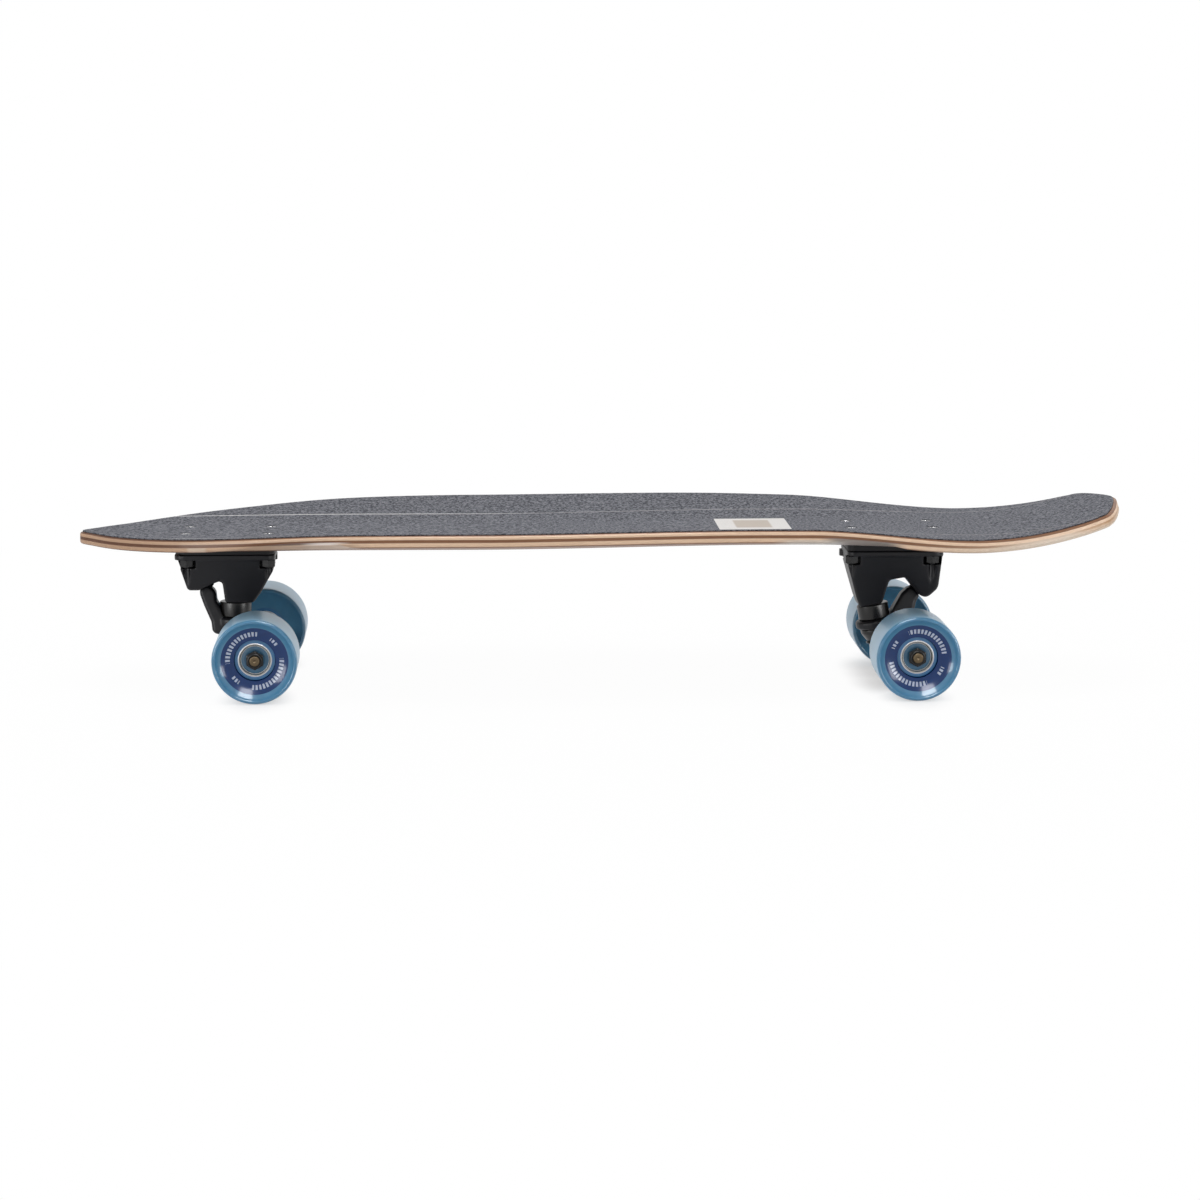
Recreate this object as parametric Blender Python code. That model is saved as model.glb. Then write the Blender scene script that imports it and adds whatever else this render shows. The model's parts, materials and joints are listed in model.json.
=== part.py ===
"""Surfskate: a pointed deck with a kicktail, two tall surf trucks and four soft wheels.

Metres, +Z up, +X from nose to tail, Y across. The origin lies on the ground, midway between the
nose and the tail. Each truck is drawn in its own frame: the origin is the middle of its axle,
U runs along the board and H is the height above the axle. The rear truck's U points to the tail.
The front truck's frame is turned half round, so that its U points to the nose.
"""
import math

import bmesh
import bpy
from mathutils import Vector

# Gap that touching pieces keep, so that their faceted solids never share a face
GAP = 0.0003

# Wheels
WHEEL_DIAMETER = 0.065
TREAD_WIDTH = 0.0432
WHEEL_LIP = 0.0028
WHEEL_SHOULDER = 0.0035
WHEEL_DISH = 0.0085
CORE_DIAMETER = 0.031
CORE_WIDTH = 0.0272
CORE_SHOULDER_BORE = 0.016
WHEEL_SEGMENTS = 32

# Bearings, axle and the parts on it
BEARING_DIAMETER = 0.022
BEARING_WIDTH = 0.007
BEARING_SPACING = 0.0102
SPACER_DIAMETER = 0.0105
AXLE_DIAMETER = 0.0079
AXLE_CHAMFER = 0.0006
AXLE_NUT_FLATS = 0.0127
AXLE_NUT_HEIGHT = 0.0062
AXLE_NUT_COLLAR = 0.0020
AXLE_END_BEYOND_NUT = 0.0016

# Deck
DECK_LENGTH = 0.8125
DECK_WIDTH = 0.2476
DECK_THICKNESS = 0.0093
DECK_EDGE_RADIUS = 0.0022
NOSE_TO_AXLE = 0.1395
WHEELBASE = 0.504
FLAT_WIDTH = 0.060
CONCAVE_DEPTH = 0.0125
CONCAVE_BEND_SHARE = 0.35
CONCAVE_NOSE_SHARE = 0.6
CONCAVE_RISE_START = -0.090
CONCAVE_RISE_LENGTH = 0.160
RAMP_START = 0.165
RAMP_LENGTH = 0.235
KICK_START = 0.045
KICK_RADIUS = 0.345
KICK_ANGLE = math.radians(18.0)
CONCAVE_FADE_START = -0.084
CONCAVE_FADE_LENGTH = 0.135
WELL_WIDTH = 0.034

# Half of the deck's outline from nose to tail: share of the length, share of the half width
OUTLINE = (
    (0.0, 0.0), (0.0135, 0.138), (0.0505, 0.394), (0.106, 0.655), (0.180, 0.836), (0.272, 0.952),
    (0.346, 0.992), (0.420, 1.0), (0.531, 0.983), (0.605, 0.955), (0.679, 0.907), (0.7525, 0.861),
    (0.826, 0.819), (0.888, 0.742), (0.937, 0.650), (0.968, 0.577), (0.9772, 0.543), (0.9821, 0.492),
    (0.9885, 0.378), (0.9945, 0.227), (0.9987, 0.090), (1.0, 0.0),
)
OUTLINE_STEPS = 2

# Grip
GRIP_THICKNESS = 0.0007
SEAM_OFFSET = 0.068
SEAM_WIDTH = 0.0012

# Mounting hardware
BOLT_DIAMETER = 0.0046
BOLT_HEAD_DIAMETER = 0.0092
BOLT_HEAD_HEIGHT = 0.0024
BOLT_SPACING_LONG = 0.0635
BOLT_SPACING_WIDE = 0.0413
BOLT_NUT_FLATS = 0.0094
BOLT_NUT_HEIGHT = 0.0052
BOLT_END_BEYOND_NUT = 0.0010
BOLT_RECESS = 0.0004
HEX_KEY_FLATS = 0.0030
HEX_KEY_DEPTH = 0.0014

# Truck parts that are alike at both ends
FLANGE_WIDTH = 0.056
FLANGE_THICKNESS = 0.0040
FLANGE_CORNER = 0.007
BASE_TOP_HALF_WIDTH = 0.0235
BASE_DRAFT = 0.235
BASE_EDGE = 0.0014
NUT_POCKET_DIAMETER = 0.0146
NUT_POCKET_ROOM = 0.0005
KINGPIN_DIAMETER = 0.0098
KINGPIN_HEAD_FLATS = 0.0142
KINGPIN_HEAD_HEIGHT = 0.0052
KINGPIN_HEAD_DEPTH = 0.0045
KINGPIN_NUT_HEIGHT = 0.0062
KINGPIN_END_BEYOND_NUT = 0.0015
BUSHING_DIAMETER = 0.0246
UPPER_BUSHING_HEIGHT = 0.0115
LOWER_BUSHING_HEIGHT = 0.0100
LOWER_BUSHING_END = 0.0170
WASHER_DIAMETER = 0.0190
WASHER_THICKNESS = 0.0014
RING_DIAMETER = 0.0310
RING_THICKNESS = 0.0070
RING_BORE = 0.0148
RING_EDGE = 0.0016
HANGER_WIDTH = 0.1338
HANGER_MIDDLE_DIAMETER = 0.0160
HANGER_END_DIAMETER = 0.0128
HANGER_END_EDGE = 0.0010
WING_REACH = 0.050
WING_ROOT = 0.0125
WING_TIP = 0.0054
ARM_EDGE = 0.0018
STEERING_CLEARANCE = 0.0010
PIVOT_DIAMETER = 0.0096
PIVOT_PIN_ROOT = 0.0105
PIVOT_CUP_WALL = 0.0024
PIVOT_CUP_MOUTH = 0.0035

# What differs between the trucks. Places and outlines are in the truck's frame: along the board,
# then the height above the axle. A wheel well is given by its depth at the rail and by four places
# behind the axle: where it starts, where it is fully deep, where it grows shallow and where it ends.
FRONT = {
    "name": "front",
    "well_depth": 0.0047,
    "well": (-0.040, 0.030, 0.052, 0.080),
    "height": 0.0710,
    "riser": 0.0055,
    "bolts_middle": 0.0241,
    "flange_middle": 0.0262,
    "flange_length": 0.0776,
    "riser_middle": 0.0252,
    "riser_length": 0.0746,
    "kingpin": (0.0195, 0.0318),
    "kingpin_lean": 0.0,
    "pivot": (0.0460, 0.0500),
    "base_outline": (
        (0.0635, 0.0680), (0.0556, 0.0420), (0.0470, 0.0420), (0.0362, 0.0472), (0.0300, 0.0496),
        (0.0285, 0.0470), (0.0268, 0.0318), (0.0050, 0.0318), (-0.0010, 0.0400), (-0.0062, 0.0495),
        (-0.0107, 0.0574), (-0.0119, 0.0680),
    ),
    "arm_outline": (
        (0.0140, 0.0115), (0.0300, 0.0058), (0.0372, 0.0078), (0.0382, 0.0162), (0.0435, 0.0281),
        (0.0474, 0.0385), (0.0468, 0.0425), (0.0415, 0.0450), (0.0368, 0.0425), (0.0346, 0.0388),
        (0.0340, 0.0322), (0.0282, 0.0222), (0.0200, 0.0190), (0.0140, 0.0185),
    ),
    "arm_half_widths": (0.0125, 0.0062),
    "wing_outline": (
        (-0.0066, 0.0010), (-0.0060, 0.0105), (0.0010, 0.0175), (0.0110, 0.0190), (0.0110, 0.0128),
        (0.0072, 0.0085), (0.0064, 0.0010),
    ),
}
REAR = {
    "name": "rear",
    "well_depth": 0.0032,
    "well": (-0.075, -0.048, -0.030, -0.007),
    "height": 0.0723,
    "riser": 0.0074,
    "bolts_middle": -0.0114,
    "flange_middle": -0.0088,
    "flange_length": 0.0756,
    "riser_middle": -0.0088,
    "riser_length": 0.0756,
    "kingpin": (-0.0240, 0.0278),
    "kingpin_lean": math.radians(10.0),
    "pivot": (0.0136, 0.0425),
    "base_outline": (
        (0.0284, 0.0690), (0.0264, 0.0450), (0.0258, 0.0415), (0.0205, 0.0362), (0.0170, 0.0338),
        (0.0113, 0.0359), (0.0033, 0.0458), (0.0001, 0.0506), (-0.0125, 0.0483), (-0.0147, 0.0400),
        (-0.0175, 0.0290), (-0.0350, 0.0259), (-0.0381, 0.0340), (-0.0455, 0.0605), (-0.0461, 0.0690),
    ),
    "arm_outline": (
        (-0.0200, 0.0100), (-0.0150, 0.0165), (-0.0095, 0.0211), (-0.0072, 0.0259), (-0.0016, 0.0360),
        (0.0046, 0.0415), (0.0086, 0.0408), (0.0128, 0.0362), (0.0122, 0.0330), (0.0102, 0.0298),
        (0.0087, 0.0235), (0.0076, 0.0140), (0.0064, 0.0040), (-0.0040, 0.0040),
    ),
    "arm_half_widths": (0.0125, 0.0062),
    "wing_outline": (
        (-0.0066, -0.0020), (-0.0110, 0.0085), (-0.0140, 0.0165), (-0.0060, 0.0200), (0.0040, 0.0150),
        (0.0076, 0.0070), (0.0064, -0.0020),
    ),
}

# Colours as linear red, green, blue, then roughness and metallic
FINISHES = {
    "maple": ((0.62, 0.36, 0.19), 0.45, 0.0),
    "grip": ((0.10, 0.10, 0.115), 0.95, 0.0),
    "black_plastic": ((0.018, 0.018, 0.020), 0.55, 0.0),
    "black_paint": ((0.020, 0.020, 0.022), 0.42, 0.3),
    "black_urethane": ((0.022, 0.021, 0.020), 0.38, 0.0),
    "steel": ((0.55, 0.55, 0.54), 0.32, 1.0),
    "bronzed_steel": ((0.26, 0.19, 0.13), 0.40, 1.0),
    "black_steel": ((0.03, 0.03, 0.03), 0.40, 0.8),
    "blue_urethane": ((0.10, 0.30, 0.50), 0.30, 0.0),
    "core_plastic": ((0.16, 0.33, 0.50), 0.35, 0.0),
}

AXLE_HEIGHT = WHEEL_DIAMETER / 2
# Between the middles of the two wheels of a truck: their inner bearings meet the hanger's ends
TRACK = HANGER_WIDTH + 2 * (GAP + BEARING_WIDTH) + BEARING_SPACING
FRONT_AXLE = NOSE_TO_AXLE - DECK_LENGTH / 2
REAR_AXLE = FRONT_AXLE + WHEELBASE
GRIP_RISE = GAP + GRIP_THICKNESS
OUTLINE_LENGTH = DECK_LENGTH - (DECK_THICKNESS - DECK_EDGE_RADIUS) * math.sin(KICK_ANGLE)
PIVOT_RADIUS = PIVOT_DIAMETER / 2
CUP_RADIUS = PIVOT_RADIUS + PIVOT_CUP_WALL


def clear_scene():
    """Remove every object that the file holds."""
    for old in list(bpy.data.objects):
        bpy.data.objects.remove(old, do_unlink=True)


def finish(name):
    """Return the named finish as a material with a Principled shader."""
    if name in bpy.data.materials:
        return bpy.data.materials[name]
    color, roughness, metallic = FINISHES[name]
    material = bpy.data.materials.new(name)
    material.use_nodes = True
    shader = material.node_tree.nodes["Principled BSDF"]
    shader.inputs["Base Color"].default_value = (*color, 1.0)
    shader.inputs["Roughness"].default_value = roughness
    shader.inputs["Metallic"].default_value = metallic
    material.diffuse_color = (*color, 1.0)
    return material


def place(obj, parent=None, location=(0.0, 0.0, 0.0), tilt=0.0, side=0):
    """Parent an object, move it, and lean its Z axis by tilt towards +X or lay it outwards along Y."""
    obj.parent = parent
    obj.location = location
    if side:
        obj.rotation_euler = (-side * math.pi / 2, 0.0, 0.0)
    else:
        obj.rotation_euler = (0.0, tilt, 0.0)
    return obj


def empty(name, parent=None, location=(0.0, 0.0, 0.0), turn=0.0):
    """Add an empty that carries a group of pieces, turned about Z."""
    obj = bpy.data.objects.new(name, None)
    obj.empty_display_size = 0.02
    bpy.context.collection.objects.link(obj)
    obj.parent = parent
    obj.location = location
    obj.rotation_euler = (0.0, 0.0, turn)
    return obj


def mesh_object(name, points, faces, material):
    """Make one closed mesh from points and faces, with doubles merged and faces turned out."""
    mesh = bpy.data.meshes.new(name)
    obj = bpy.data.objects.new(name, mesh)
    bpy.context.collection.objects.link(obj)
    work = bmesh.new()
    corners = [work.verts.new(point) for point in points]
    for face in faces:
        if len(set(face)) > 2:
            work.faces.new([corners[index] for index in face])
    bmesh.ops.remove_doubles(work, verts=work.verts, dist=1e-6)
    bmesh.ops.dissolve_degenerate(work, edges=work.edges, dist=1e-7)
    bmesh.ops.recalc_face_normals(work, faces=work.faces)
    work.to_mesh(mesh)
    work.free()
    mesh.materials.append(finish(material))
    mesh.shade_smooth()
    mesh.set_sharp_from_angle(angle=math.radians(32.0))
    return obj


def quads(loops, closed=False):
    """Corner indices of the four-sided faces between neighbouring loops of equal length."""
    count = len(loops[0])
    found = []
    for row in range(len(loops) if closed else len(loops) - 1):
        near, far = row * count, (row + 1) % len(loops) * count
        for column in range(count):
            other = (column + 1) % count
            found.append((near + column, near + other, far + other, far + column))
    return found


def loft(name, loops, material, closed=False):
    """Join loops of equal length into a skin. Open lofts get a flat cap on the first and last loop."""
    points = [point for loop in loops for point in loop]
    faces = quads(loops, closed)
    if not closed:
        count = len(loops[0])
        faces.append(tuple(range(count)))
        faces.append(tuple(range(len(points) - count, len(points))))
    return mesh_object(name, points, faces, material)


def pressed(name, loops, material):
    """Join loops that shrink to a point at both ends, with every quad split on its lower diagonal.

    The same rule in every layer keeps the facets of stacked layers parallel.
    """
    points = [point for loop in loops for point in loop]
    faces = []
    for a, b, c, d in quads(loops):
        if points[a][2] + points[c][2] < points[b][2] + points[d][2]:
            faces += [(a, b, c), (a, c, d)]
        else:
            faces += [(b, c, d), (b, d, a)]
    return mesh_object(name, points, faces, material)


def turned(name, profile, material, segments=24, hexagon=()):
    """Turn a closed profile of (radius, height) points about Z.

    Profile points whose index is in hexagon take the radius as half the width across flats.
    """
    rings = []
    for step in range(segments):
        angle = 2 * math.pi * step / segments
        from_flat = (angle + math.pi / 6) % (math.pi / 3) - math.pi / 6
        ring = []
        for index, (radius, height) in enumerate(profile):
            reach = radius / math.cos(from_flat) if index in hexagon else radius
            ring.append((reach * math.cos(angle), reach * math.sin(angle), height))
        rings.append(ring)
    return loft(name, rings, material, closed=True)


def prism(name, outline, half_width, material):
    """Extrude a side outline of (u, h) points to both sides; half_width(h) may vary with height."""
    loops = [[(u, side * half_width(h), h) for u, h in outline] for side in (-1, 1)]
    return loft(name, loops, material)


def bevel(obj, width, segments=1):
    """Round an object's sharp edges."""
    modifier = obj.modifiers.new("edge", "BEVEL")
    modifier.width = width
    modifier.segments = segments
    modifier.limit_method = "ANGLE"
    modifier.angle_limit = math.radians(28.0)
    return obj


def as_tool(obj):
    """Mark an object as a guide or cutter that isn't a piece."""
    obj.hide_render = True
    obj.display_type = "WIRE"
    return obj


def combine(obj, tool, operation):
    """Add a Boolean with a tool object that stands in the same frame."""
    modifier = obj.modifiers.new(tool.name, "BOOLEAN")
    modifier.operation = operation
    modifier.solver = "EXACT"
    modifier.object = as_tool(tool)


def smooth_step(value):
    """Ease from 0 to 1 with level ends."""
    value = min(1.0, max(0.0, value))
    return value * value * (3.0 - 2.0 * value)


def pad_level(truck):
    """Height of the deck's wooden underside over a truck."""
    return AXLE_HEIGHT + truck["height"] + GAP + truck["riser"] + GAP


def kick_lean(x):
    """The kick's slope as an angle: it grows along an arc up to KICK_ANGLE."""
    beyond = max(0.0, x - REAR_AXLE - KICK_START)
    return math.asin(min(beyond / KICK_RADIUS, math.sin(KICK_ANGLE)))


def wood_top(x, y):
    """Height of the wooden deck's upper face.

    Level over each truck with an eased ramp between, a hyperbola up to the rails outside the flat
    middle strip, and a kick made of an arc and its tangent.
    """
    front, rear = pad_level(FRONT), pad_level(REAR)
    ramp = smooth_step((x - FRONT_AXLE - RAMP_START) / RAMP_LENGTH)
    level = front + (rear - front) * ramp + DECK_THICKNESS
    beyond = max(0.0, x - REAR_AXLE - KICK_START)
    lean = kick_lean(x)
    straight = beyond - KICK_RADIUS * math.sin(lean)
    level += KICK_RADIUS * (1.0 - math.cos(lean)) + straight * math.tan(lean)
    outside = max(0.0, abs(y) - FLAT_WIDTH / 2) / (DECK_WIDTH / 2 - FLAT_WIDTH / 2)
    bend = CONCAVE_BEND_SHARE
    rise = math.hypot(outside, bend) - bend
    full_rise = math.hypot(1.0, bend) - bend
    fade_in = smooth_step((x - FRONT_AXLE - CONCAVE_RISE_START) / CONCAVE_RISE_LENGTH)
    fade_out = smooth_step((x - REAR_AXLE - CONCAVE_FADE_START) / CONCAVE_FADE_LENGTH)
    share = (CONCAVE_NOSE_SHARE + (1.0 - CONCAVE_NOSE_SHARE) * fade_in) * (1.0 - fade_out)
    return level + CONCAVE_DEPTH * share * rise / full_rise


def beneath(x, y, depth):
    """The point at a depth under the wooden deck's upper face, measured square to the kick."""
    lean = kick_lean(x)
    return x + depth * math.sin(lean), y, wood_top(x, y) - depth * math.cos(lean)


def wood_depth(x, y, rail):
    """Thickness of the wood, less the wheel wells, which slope up from WELL_WIDTH inside the rail."""
    across = max(0.0, 1.0 - (rail - abs(y)) / WELL_WIDTH)
    depth = DECK_THICKNESS
    for truck, axle in ((FRONT, FRONT_AXLE), (REAR, REAR_AXLE)):
        start, full, shallow, end = truck["well"]
        along = smooth_step((x - axle - start) / (full - start))
        along -= smooth_step((x - axle - shallow) / (end - shallow))
        depth -= truck["well_depth"] * along * across
    return depth


def outline_samples():
    """Sample the half outline from nose to tail as (x, half width, normal x, normal y).

    A cubic runs through the outline's points, spaced by chord length, and the mirrored
    neighbours at nose and tail keep both tips round.
    """
    half = DECK_WIDTH / 2
    knots = [Vector((share * OUTLINE_LENGTH - DECK_LENGTH / 2, width * half)) for share, width in OUTLINE]
    mirror = Vector((1.0, -1.0))
    path = [knots[1] * mirror] + knots + [knots[-2] * mirror]
    gaps = [(path[index + 1] - path[index]).length for index in range(len(path) - 1)]
    slopes = []
    for index in range(1, len(path) - 1):
        before = (path[index] - path[index - 1]) / gaps[index - 1]
        after = (path[index + 1] - path[index]) / gaps[index]
        weight = gaps[index] / (gaps[index - 1] + gaps[index])
        slopes.append(before * weight + after * (1.0 - weight))
    samples = []
    for index in range(len(knots) - 1):
        here, there = knots[index], knots[index + 1]
        leaving, arriving = slopes[index] * gaps[index + 1], slopes[index + 1] * gaps[index + 1]
        steps = OUTLINE_STEPS + (index == len(knots) - 2)
        for step in range(steps):
            t = step / OUTLINE_STEPS
            share = t * t * (3 - 2 * t)
            point = here.lerp(there, share) + leaving * (t * (1 - t) ** 2) - arriving * (t * t * (1 - t))
            along = (there - here) * (6 * t * (1 - t)) + leaving * (1 - t) * (1 - 3 * t)
            along += arriving * t * (3 * t - 2)
            along.normalize()
            samples.append((point.x, max(0.0, point.y), -along.y, along.x))
    return samples


def inset_edge(samples, inset):
    """Move the half outline inwards along its normal."""
    return [(x - inset * nx, max(0.0, y - inset * ny)) for x, y, nx, ny in samples]


def deck_columns(edge):
    """Places across one half of a row: the flat strip's side, both sides of the seam and the edge."""
    inner, outer = SEAM_OFFSET - SEAM_WIDTH / 2, SEAM_OFFSET + SEAM_WIDTH / 2
    flat = FLAT_WIDTH / 2
    places = (flat, (flat + inner) / 2, inner, outer, max(outer, (outer + edge) / 2), edge)
    return [min(edge, place_y) for place_y in places]


def build_deck(samples):
    """The ply deck: concave top, scooped underside and rounded edges, drilled for eight bolts."""
    radius = DECK_EDGE_RADIUS
    corner = radius * (1.0 - math.sqrt(0.5))
    bands = ((radius, 0.0), (corner, corner), (0.0, radius))
    edges = [inset_edge(samples, inset) for inset, _ in bands]
    loops = []
    for index in range(len(samples)):
        rim = [(*edges[band][index], bands[band][1]) for band in range(len(bands))]
        x_flat, y_flat, _ = rim[0]
        rail = rim[-1][1]
        columns = deck_columns(y_flat)
        right = [beneath(x_flat, y, 0.0) for y in columns]
        right += [beneath(x, y, drop) for x, y, drop in rim[1:]]
        right += [beneath(x, y, wood_depth(x, y, rail) - drop) for x, y, drop in reversed(rim[1:])]
        right += [beneath(x_flat, y, wood_depth(x_flat, y, rail)) for y in reversed(columns)]
        left = [(x, -y, z) for x, y, z in reversed(right)]
        loops.append(right + left)
    deck = pressed("deck", loops, "maple")
    drill_bolt_holes(deck)
    return deck


def sheet(name, rows, material):
    """A thin sheet on the deck from rows of (x, list of y): a lower and an upper face and its rim."""
    loops = []
    for x, places in rows:
        upper = [beneath(x, y, -GRIP_RISE) for y in places]
        lower = [beneath(x, y, -GAP) for y in reversed(places)]
        loops.append(upper + lower)
    return pressed(name, loops, material)


def build_grip(samples):
    """Grip in three pieces: a wide middle and a strip along each rail, with a narrow seam between."""
    edge = inset_edge(samples, DECK_EDGE_RADIUS)
    middle, strip = [], []
    for x, y in edge:
        columns = deck_columns(y)
        middle.append((x, [-place_y for place_y in reversed(columns[:3])] + columns[:3]))
        if y > SEAM_OFFSET + SEAM_WIDTH / 2 - GAP / 10:
            strip.append((x, columns[3:]))
    drill_bolt_holes(sheet("grip_middle", middle, "grip"))
    sheet("grip_left", strip, "grip")
    sheet("grip_right", [(x, [-y for y in places]) for x, places in strip], "grip")


def with_seam_rows(samples):
    """Add a sample where each strip of grip runs out to a point, so that deck and grip share a grid."""
    level = SEAM_OFFSET + SEAM_WIDTH / 2
    edge = inset_edge(samples, DECK_EDGE_RADIUS)
    rows = [samples[0]]
    for index in range(1, len(samples)):
        before, after = edge[index - 1][1], edge[index][1]
        if (before - level) * (after - level) < 0:
            share = (level - before) / (after - before)
            rows.append(tuple(a + share * (b - a) for a, b in zip(samples[index - 1], samples[index])))
        rows.append(samples[index])
    return rows


def bolt_places(truck):
    """The four bolts of a truck in its own frame."""
    return [(truck["bolts_middle"] + along * BOLT_SPACING_LONG / 2, across * BOLT_SPACING_WIDE / 2)
            for along in (-1, 1) for across in (-1, 1)]


def world_bolts():
    """All eight bolts as (truck, x, y) in the board's frame."""
    found = []
    for truck, axle, turn in ((FRONT, FRONT_AXLE, -1), (REAR, REAR_AXLE, 1)):
        found += [(truck, axle + turn * u, turn * y) for u, y in bolt_places(truck)]
    return found


def drill_bolt_holes(obj):
    """Cut eight countersunk bolt holes."""
    shaft, head = BOLT_DIAMETER / 2 + GAP, BOLT_HEAD_DIAMETER / 2 + GAP
    for number, (truck, x, y) in enumerate(world_bolts()):
        top = wood_top(x, y) + GRIP_RISE - BOLT_RECESS
        profile = ((0.0, GRIP_RISE), (head, GRIP_RISE), (head, 0.0), (shaft, -BOLT_HEAD_HEIGHT - GAP),
                   (shaft, -2 * DECK_THICKNESS), (0.0, -2 * DECK_THICKNESS))
        drill = turned(f"{obj.name}_drill_{number}", profile, "steel", 12)
        place(drill, location=(x, y, top))
        combine(obj, drill, "DIFFERENCE")


def build_mounting_bolts():
    """Eight countersunk bolts, each with its nut run up under the truck's flange."""
    shaft, head, nut = BOLT_DIAMETER / 2, BOLT_HEAD_DIAMETER / 2, BOLT_NUT_FLATS / 2
    key = HEX_KEY_FLATS / 2
    numbers = {"front": 0, "rear": 0}
    for truck, x, y in world_bolts():
        top = wood_top(x, y) + GRIP_RISE - BOLT_RECESS
        nut_top = AXLE_HEIGHT + truck["height"] - FLANGE_THICKNESS - GAP - top
        nut_end = nut_top - BOLT_NUT_HEIGHT
        end = nut_end - BOLT_END_BEYOND_NUT
        profile = ((0.0, -HEX_KEY_DEPTH), (key, -HEX_KEY_DEPTH), (key, 0.0), (head, 0.0),
                   (shaft, -BOLT_HEAD_HEIGHT), (shaft, nut_top), (nut, nut_top), (nut, nut_end),
                   (shaft, nut_end), (shaft, end), (0.0, end))
        numbers[truck["name"]] += 1
        name = f"{truck['name']}_bolt_{numbers[truck['name']]}"
        place(turned(name, profile, "black_steel", 12, hexagon=(1, 2, 6, 7)), location=(x, y, top))


def rounded_rectangle(length, width, corner, steps=4):
    """Corner-rounded rectangle about the origin, as points in order."""
    points = []
    for quarter in range(4):
        side_x = 1 if quarter in (0, 3) else -1
        side_y = 1 if quarter in (0, 1) else -1
        for step in range(steps + 1):
            angle = math.pi / 2 * (quarter + step / steps)
            points.append((side_x * (length / 2 - corner) + corner * math.cos(angle),
                           side_y * (width / 2 - corner) + corner * math.sin(angle)))
    return points


def plate(name, middle, length, low, high, material):
    """A flat pad under the deck, between two heights over the axle."""
    outline = rounded_rectangle(length, FLANGE_WIDTH, FLANGE_CORNER)
    loops = [[(middle + u, y, h) for u, y in outline] for h in (low, high)]
    return loft(name, loops, material)


def bolt_cutters(truck, name, frame, radius, low, high):
    """Upright cylinders at a truck's four bolts."""
    cutters = []
    for number, (u, y) in enumerate(bolt_places(truck)):
        profile = ((0.0, low), (radius, low), (radius, high), (0.0, high))
        cutter = turned(f"{name}_{number}", profile, "steel", 12)
        cutters.append(place(cutter, frame, (u, y, 0.0)))
    return cutters


def kingpin_axis(truck):
    """Where the kingpin leaves the base, and its direction down towards the nut."""
    u, h = truck["kingpin"]
    lean = truck["kingpin_lean"]
    return Vector((u, 0.0, h)), Vector((math.sin(lean), 0.0, -math.cos(lean)))


def ring_centre(truck):
    """Middle of the hanger's ring, held on the kingpin between the bushings."""
    seat, down = kingpin_axis(truck)
    return seat + down * (2 * GAP + UPPER_BUSHING_HEIGHT + RING_THICKNESS / 2)


def steering_axis(truck):
    """Direction from the ring's centre up to the pivot's ball."""
    pivot = Vector((truck["pivot"][0], 0.0, truck["pivot"][1]))
    return pivot, (pivot - ring_centre(truck)).normalized()


def axis_tilt(direction):
    """Turn about Y that lays an upright piece along a direction in the U-H plane."""
    return math.atan2(direction.x, direction.z)


def build_base(truck, frame):
    """The cast base: a flange, a tapered body with a kingpin leg and a pivot leg, and its bores."""
    name = f"{truck['name']}_base"
    top = truck["height"]
    flange_bottom = top - FLANGE_THICKNESS

    def half_width(h):
        return BASE_TOP_HALF_WIDTH - BASE_DRAFT * (flange_bottom - h)

    body = bevel(prism(name, truck["base_outline"], half_width, "black_paint"), BASE_EDGE)
    niche = flange_bottom - GAP - BOLT_NUT_HEIGHT - BOLT_END_BEYOND_NUT - NUT_POCKET_ROOM
    for cutter in bolt_cutters(truck, f"{name}_pocket", frame, NUT_POCKET_DIAMETER / 2, niche, top):
        combine(body, cutter, "DIFFERENCE")
    flange = plate(f"{name}_flange", truck["flange_middle"], truck["flange_length"], flange_bottom, top,
                   "black_paint")
    combine(body, place(flange, frame), "UNION")
    for cutter in bolt_cutters(truck, f"{name}_hole", frame, BOLT_DIAMETER / 2 + GAP, 0.0, 2 * top):
        combine(body, cutter, "DIFFERENCE")
    seat, down = kingpin_axis(truck)
    head_bottom = kingpin_head_bottom(truck)
    shaft, head = KINGPIN_DIAMETER / 2 + GAP, KINGPIN_HEAD_FLATS / 2 / math.cos(math.pi / 6) + GAP
    profile = ((0.0, -top), (shaft, -top), (shaft, head_bottom - GAP), (head, head_bottom - GAP),
               (head, 2 * top), (0.0, 2 * top))
    bore = place(turned(f"{name}_kingpin_bore", profile, "steel"), frame, seat, axis_tilt(-down))
    combine(body, bore, "DIFFERENCE")
    pivot, direction = steering_axis(truck)
    socket = CUP_RADIUS + GAP
    deep = cup_depth() + GAP
    out = -PIVOT_PIN_ROOT - STEERING_CLEARANCE
    profile = ((0.0, out), (socket, out), (socket, deep), (0.0, deep))
    cup_bore = place(turned(f"{name}_pivot_bore", profile, "steel", 16), frame, pivot, axis_tilt(direction))
    combine(body, cup_bore, "DIFFERENCE")
    return place(body, frame)


def kingpin_head_bottom(truck):
    """Distance up the kingpin from the base's seat to the underside of its head."""
    seat, down = kingpin_axis(truck)
    return (truck["height"] - seat.z) / -down.z - KINGPIN_HEAD_DEPTH - KINGPIN_HEAD_HEIGHT


def cup_depth():
    """How far the pivot cup's closed end lies beyond the ball's centre."""
    return PIVOT_RADIUS + GAP + PIVOT_CUP_WALL


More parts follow.
